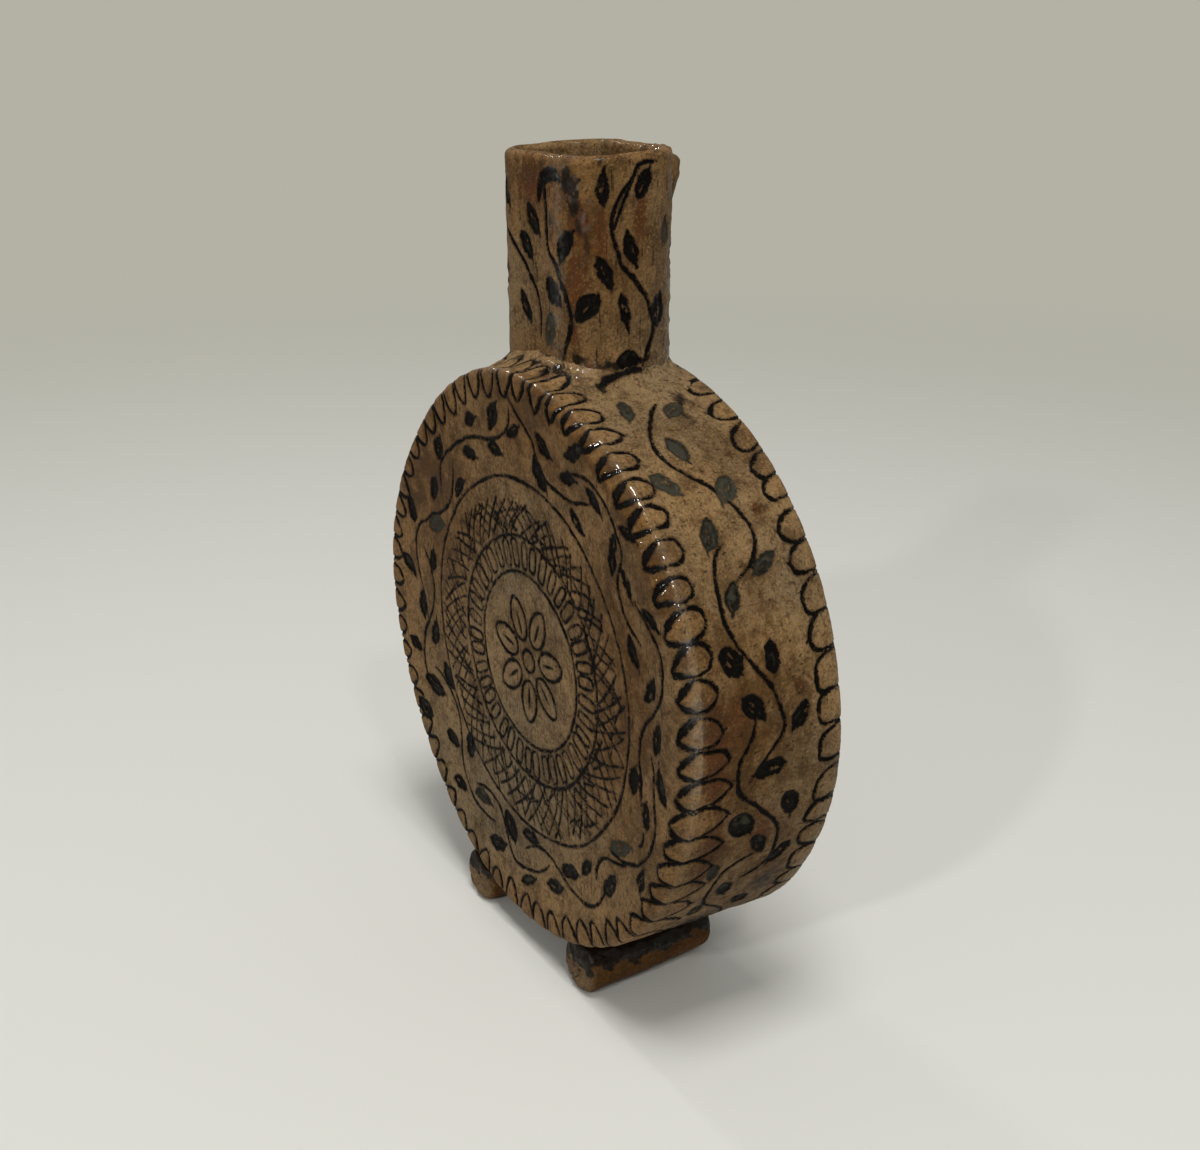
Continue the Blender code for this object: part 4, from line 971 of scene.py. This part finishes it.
class Wire:
    # wraps a shader socket. Sums on it add Math nodes, and node() adds any other
    def __init__(self, tree, socket=None):
        self.tree, self.socket = tree, socket

    def node(self, kind, settings=None, values=None, out=0):
        made = self.tree.nodes.new(kind)
        for key, value in (settings or {}).items():
            if key == "stops":
                for number, (at, colour) in enumerate(value):
                    stop = made.color_ramp.elements[number] if number < 2 else made.color_ramp.elements.new(at)
                    stop.position, stop.color = at, colour
            else:
                setattr(made, key, value)
        for key, value in (values or {}).items():
            if isinstance(value, Wire):
                self.tree.links.new(value.socket, made.inputs[key])
            else:
                made.inputs[key].default_value = value
        return Wire(self.tree, made.outputs[out])

    def math(self, operation, *values):
        return self.node("ShaderNodeMath", {"operation": operation}, dict(enumerate(values)))

    def __add__(self, other):
        return self.math("ADD", self, other)

    def __sub__(self, other):
        return self.math("SUBTRACT", self, other)

    def __rsub__(self, other):
        return self.math("SUBTRACT", other, self)

    def __mul__(self, other):
        return self.math("MULTIPLY", self, other)

    __radd__, __rmul__ = __add__, __mul__

    def between(self, low, high):
        # 0 at low, 1 at high, smooth
        return self.node("ShaderNodeMapRange", {"interpolation_type": "SMOOTHSTEP"},
                         {"Value": self, "From Min": low, "From Max": high})

    def mix(self, first, second):
        # colour: first where this is 0, second where it is 1
        return self.node("ShaderNodeMix", {"data_type": "RGBA"}, {0: self, 6: first, 7: second}, out=2)

    def noise(self, place, scale, detail=2.0, roughness=0.5):
        return self.node("ShaderNodeTexNoise", {"normalize": True},
                         {"Vector": place, "Scale": scale, "Detail": detail, "Roughness": roughness})


clay = dict(
    light=(0.256, 0.166, 0.080, 1), pale=(0.40, 0.255, 0.085, 1), dark=(0.046, 0.024, 0.009, 1),
    honey=(0.225, 0.108, 0.028, 1), deep=(0.095, 0.041, 0.009, 1), grey=(0.178, 0.131, 0.076, 1),
    black=(0.0030, 0.0024, 0.0018, 1), faded=(0.037, 0.036, 0.026, 1), stain=(0.0065, 0.0042, 0.0025, 1),
    rust=(0.085, 0.026, 0.007, 1), bare=(0.140, 0.066, 0.024, 1),
)


glaze = dict(coatRoughness=0.05, coatIor=1.8, specular=0.04, bump=0.9, bumpHeight=0.0005)


def clayPaint(name, honey, depth, streak, grain, rough, coat, stretch, bare=False):
    # brown clay under a thin glaze: slow patches, streaks, mottling, dark specks, smears, painted shade, and black in
    # the ink field
    material = bpy.data.materials.new(name)
    material.use_nodes = True
    tree = material.node_tree
    shader = tree.nodes["Principled BSDF"]
    wire = Wire(tree)
    fields = ("ink", "tone", "puff", "stain", "rust", "warm", "shine")
    ink, tone, puff, stain, rust, warm, shine = (
        wire.node("ShaderNodeAttribute", {"attribute_name": field}, out=2) for field in fields)

    place = wire.node("ShaderNodeTexCoord", out=3)
    streaky = wire.node("ShaderNodeVectorMath", {"operation": "MULTIPLY"}, {0: place, 1: stretch})
    patches = wire.noise(place, 20, 2)
    blotch = wire.noise(place, 130, 4, 0.65)
    mottle = wire.noise(place, 420, 3, 0.7)
    fine = wire.noise(place, 1300, 2, 0.7)
    streaks = wire.noise(streaky, 260, 3, 0.6)
    rusty = (rust * 1.4 + (blotch - 0.5) * 1.3 * rust).between(0.25, 0.80)
    stained = (stain * 1.25 + (mottle + streaks - 1) * 1.5 * stain).between(0.20, 0.80)
    edge = ink + (mottle - 0.5) * 1.4 + (fine - 0.5) * 1.4 - 0.04

    # layers from the clay upwards: how much each covers, and its colour
    if bare:
        base = (patches.between(0.4, 0.6) * 0.6).mix(clay["bare"], clay["deep"])
        layers = [(puff * 0.6, "grey")]
    else:
        base = patches.between(0.38, 0.62).mix(clay["grey"], clay["light"])
        layers = [(wire.noise(place, 13, 1).between(0.40, 0.60) * honey, "honey"), (puff * 0.28 + warm * 0.38, "honey")]
    layers += [
        # painted shade: this field darkens the tongues' bevel and the feet's upper sides to deep brown, besides warming
        # real tints
        (warm * blotch.between(0.25, 0.60) + depth, "deep"),
        (rusty * 0.9, "rust"),
        (wire.noise(place, 48, 3, 0.6).between(0.50, 0.72) * 0.45, "dark"),
        (blotch.between(0.46, 0.68) * 0.60, "dark"),
        (streaks.between(0.50, 0.70) * streak, "dark"),
        (mottle.between(0.50, 0.70) * 0.60 * grain, "dark"),
        (fine.between(0.46, 0.72) * 0.52 * grain, "dark"),
        ((1 - fine).between(0.54, 0.74) * (0.42 - 0.3 * warm), "pale"),
        (wire.noise(streaky, 1050, 2, 0.6).between(0.60, 0.72) * 0.60 * grain, "stain"),
        ((1 - edge.between(0.0, 0.60)) * 0.50, "stain"),
        (stained * 0.95, "stain"),
    ]
    for cover, colour in layers:
        base = cover.mix(base, clay[colour])

    # the black itself, scraped grey inside the leaves and worn in specks
    scraped = (0 - ink).between(0.5, 1.5) * blotch.between(0.44, 0.58)
    fill = (tone + (mottle - 0.5) * 0.6 - scraped * 0.50).between(0.15, 0.75).mix(clay["faded"], clay["black"])
    worn = wire.noise(place, 900, 2, 0.7).between(0.52, 0.70)
    inked = (1 - edge.between(-0.10, 0.10)) * (1 - worn * (1.15 - tone) * 0.8)
    tree.links.new(inked.mix(base, fill).socket, shader.inputs["Base Color"])

    roughness = rough + (mottle - 0.5) * 0.40 - puff * 0.08 - stained * 0.12
    tree.links.new(roughness.socket, shader.inputs["Roughness"])
    grit = wire.noise(place, 2600, 1, 0.5)
    height = blotch * 0.30 + mottle * 0.42 + fine * 0.36 + grit * 0.20 + edge.between(-0.3, 0.25) * 0.45
    bump = wire.node("ShaderNodeBump", None,
                     {"Strength": glaze["bump"], "Distance": glaze["bumpHeight"], "Height": height})
    tree.links.new(bump.socket, shader.inputs["Normal"])
    gloss = patches.between(0.3, 0.7) * 0.5 + 0.5
    wet = shine * blotch.between(0.34, 0.54) * (mottle.between(0.40, 0.56) * 0.5 + 0.5) * (1 - stained * 0.45)
    tree.links.new((gloss * coat * (1 - inked * 0.85) + wet).socket, shader.inputs["Coat Weight"])
    shader.inputs["Coat Roughness"].default_value = glaze["coatRoughness"]
    shader.inputs["Coat IOR"].default_value = glaze["coatIor"]
    shader.inputs["Specular IOR Level"].default_value = glaze["specular"]
    return material


print("finishes")
finishes = {
    # honey and depth turn the clay brown, streak and grain darken it in lines and specks, coat is the glaze's weight
    "glazed_face": dict(honey=0.36, depth=0.09, streak=0.04, grain=1.1, rough=0.58, coat=0.06, stretch=(1, 1, 0.16)),
    "glazed_band": dict(honey=0.22, depth=0.0, streak=0.30, grain=1.12, rough=0.54, coat=0.03, stretch=(1, 0.4, 0.8)),
    "glazed_neck": dict(honey=0.60, depth=0.20, streak=0.45, grain=1.2, rough=0.48, coat=0.05, stretch=(1, 1, 0.10)),
    "bare_foot": dict(honey=0.0, depth=0.0, streak=0.30, grain=0.9, rough=0.66, coat=0.06, stretch=(1, 0.2, 1),
                      bare=True),
}
paints = {name: clayPaint(name, **finish) for name, finish in finishes.items()}

print("pieces")
faceSlab("front_slab", -1, paints["glazed_face"])
faceSlab("back_slab", 1, paints["glazed_face"])
sideStrip(paints["glazed_band"])
neckTube(paints["glazed_neck"])
collar(paints["glazed_band"])
lap(paints["glazed_neck"])
foot("left_foot", paints["bare_foot"], 61)
foot("right_foot", paints["bare_foot"], 71)
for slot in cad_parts["inner_seam_coil"].material_slots:
    slot.material = paints["bare_foot"]

print("stage")
stage = dict(
    floorHalf=6.0, floor=(0.66, 0.665, 0.637, 1), floorRoughness=0.9, backdrop=(0.455, 0.445, 0.378, 1),
    sky=(1.0, 0.97, 0.91, 1), skyLight=0.30,
    near=0.25, far=1.3,     # the floor turns into the backdrop between these distances
    target=(0, 0, 0.12),    # what the lamps look at
)
mesh = bpy.data.meshes.new("floor")
half = stage["floorHalf"]
mesh.from_pydata([(-half, -half, 0), (half, -half, 0), (half, half, 0), (-half, half, 0)], [], [(0, 1, 2, 3)])
floor = addObject("floor", mesh)
floorPaint = bpy.data.materials.new("pale_floor")
floorPaint.use_nodes = True
floorTree = floorPaint.node_tree
ground = Wire(floorTree)
floorShader = floorTree.nodes["Principled BSDF"]
floorShader.inputs["Base Color"].default_value = stage["floor"]
floorShader.inputs["Roughness"].default_value = stage["floorRoughness"]
# away from the vase the floor takes on the backdrop's plain colour, for the camera alone
place = ground.node("ShaderNodeTexCoord", out=3)
distance = ground.node("ShaderNodeVectorMath", {"operation": "LENGTH"}, {0: place}, out=1)
plain = ground.node("ShaderNodeEmission", None, {"Color": stage["backdrop"], "Strength": 1.0})
away = distance.between(stage["near"], stage["far"]) * ground.node("ShaderNodeLightPath")
faded = ground.node("ShaderNodeMixShader", None, {0: away, 2: plain})
floorTree.links.new(floorShader.outputs[0], faded.socket.node.inputs[1])
floorTree.links.new(faded.socket, floorTree.nodes["Material Output"].inputs["Surface"])
mesh.materials.append(floorPaint)

world = bpy.data.worlds.new("soft_sky")
bpy.context.scene.world = world
world.use_nodes = True
worldTree = world.node_tree
sky = Wire(worldTree)
background = worldTree.nodes["Background"]
background.inputs["Color"].default_value = stage["sky"]
background.inputs["Strength"].default_value = stage["skyLight"]
plain = sky.node("ShaderNodeBackground", None, {"Color": stage["backdrop"], "Strength": 1.0})
both = sky.node("ShaderNodeMixShader", None, {0: sky.node("ShaderNodeLightPath"), 2: plain})
worldTree.links.new(background.outputs[0], both.socket.node.inputs[1])
worldTree.links.new(both.socket, worldTree.nodes["World Output"].inputs["Surface"])

lamps = (
    # name, place, width, power in watts, colour
    ("overhead", (0.40, -0.20, 1.62), 0.5, 16.0, (1.0, 0.98, 0.94)),
    ("right_spark", (1.02, -0.32, 1.16), 0.12, 2.6, (1.0, 0.98, 0.94)),
    ("front_spark", (0.62, -1.30, 0.96), 0.085, 5.5, (1.0, 0.99, 0.97)),
    ("left_spark", (-1.18, -0.09, 1.05), 0.09, 2.2, (1.0, 0.99, 0.97)),
)


def turnedTo(right, up, back, place):
    # the matrix whose columns are the own axes of a lamp or a camera, then its place
    return Matrix([(right[n], up[n], back[n], place[n]) for n in range(3)] + [(0, 0, 0, 1)])


for name, place, size, power, colour in lamps:
    light = bpy.data.lights.new(name, "AREA")
    light.size, light.energy, light.color = size, power, colour
    back = np.array(place) - stage["target"]
    back = back / np.linalg.norm(back)
    right = np.cross((0, 1, 0.001), back)
    right = right / np.linalg.norm(right)
    addObject(name, light).matrix_world = turnedTo(right, np.cross(back, right), back, place)

view = dict(lens=44.4, yaw=57.81, pitch=21.34, place=(361.8, -224.1, 189.7))   # place from the body's middle
yaw, pitch = math.radians(view["yaw"]), math.radians(view["pitch"])
back = (math.sin(yaw) * math.cos(pitch), -math.cos(yaw) * math.cos(pitch), math.sin(pitch))
right = (math.cos(yaw), math.sin(yaw), 0)
place = (view["place"][0] / 1000, view["place"][1] / 1000, (view["place"][2] + centreZ) / 1000)
cameraData = bpy.data.cameras.new("camera")
cameraData.lens = view["lens"]
camera = addObject("camera", cameraData)
camera.matrix_world = turnedTo(right, np.cross(back, right), back, place)
bpy.context.scene.camera = camera
bpy.context.scene.view_settings.view_transform = "Standard"
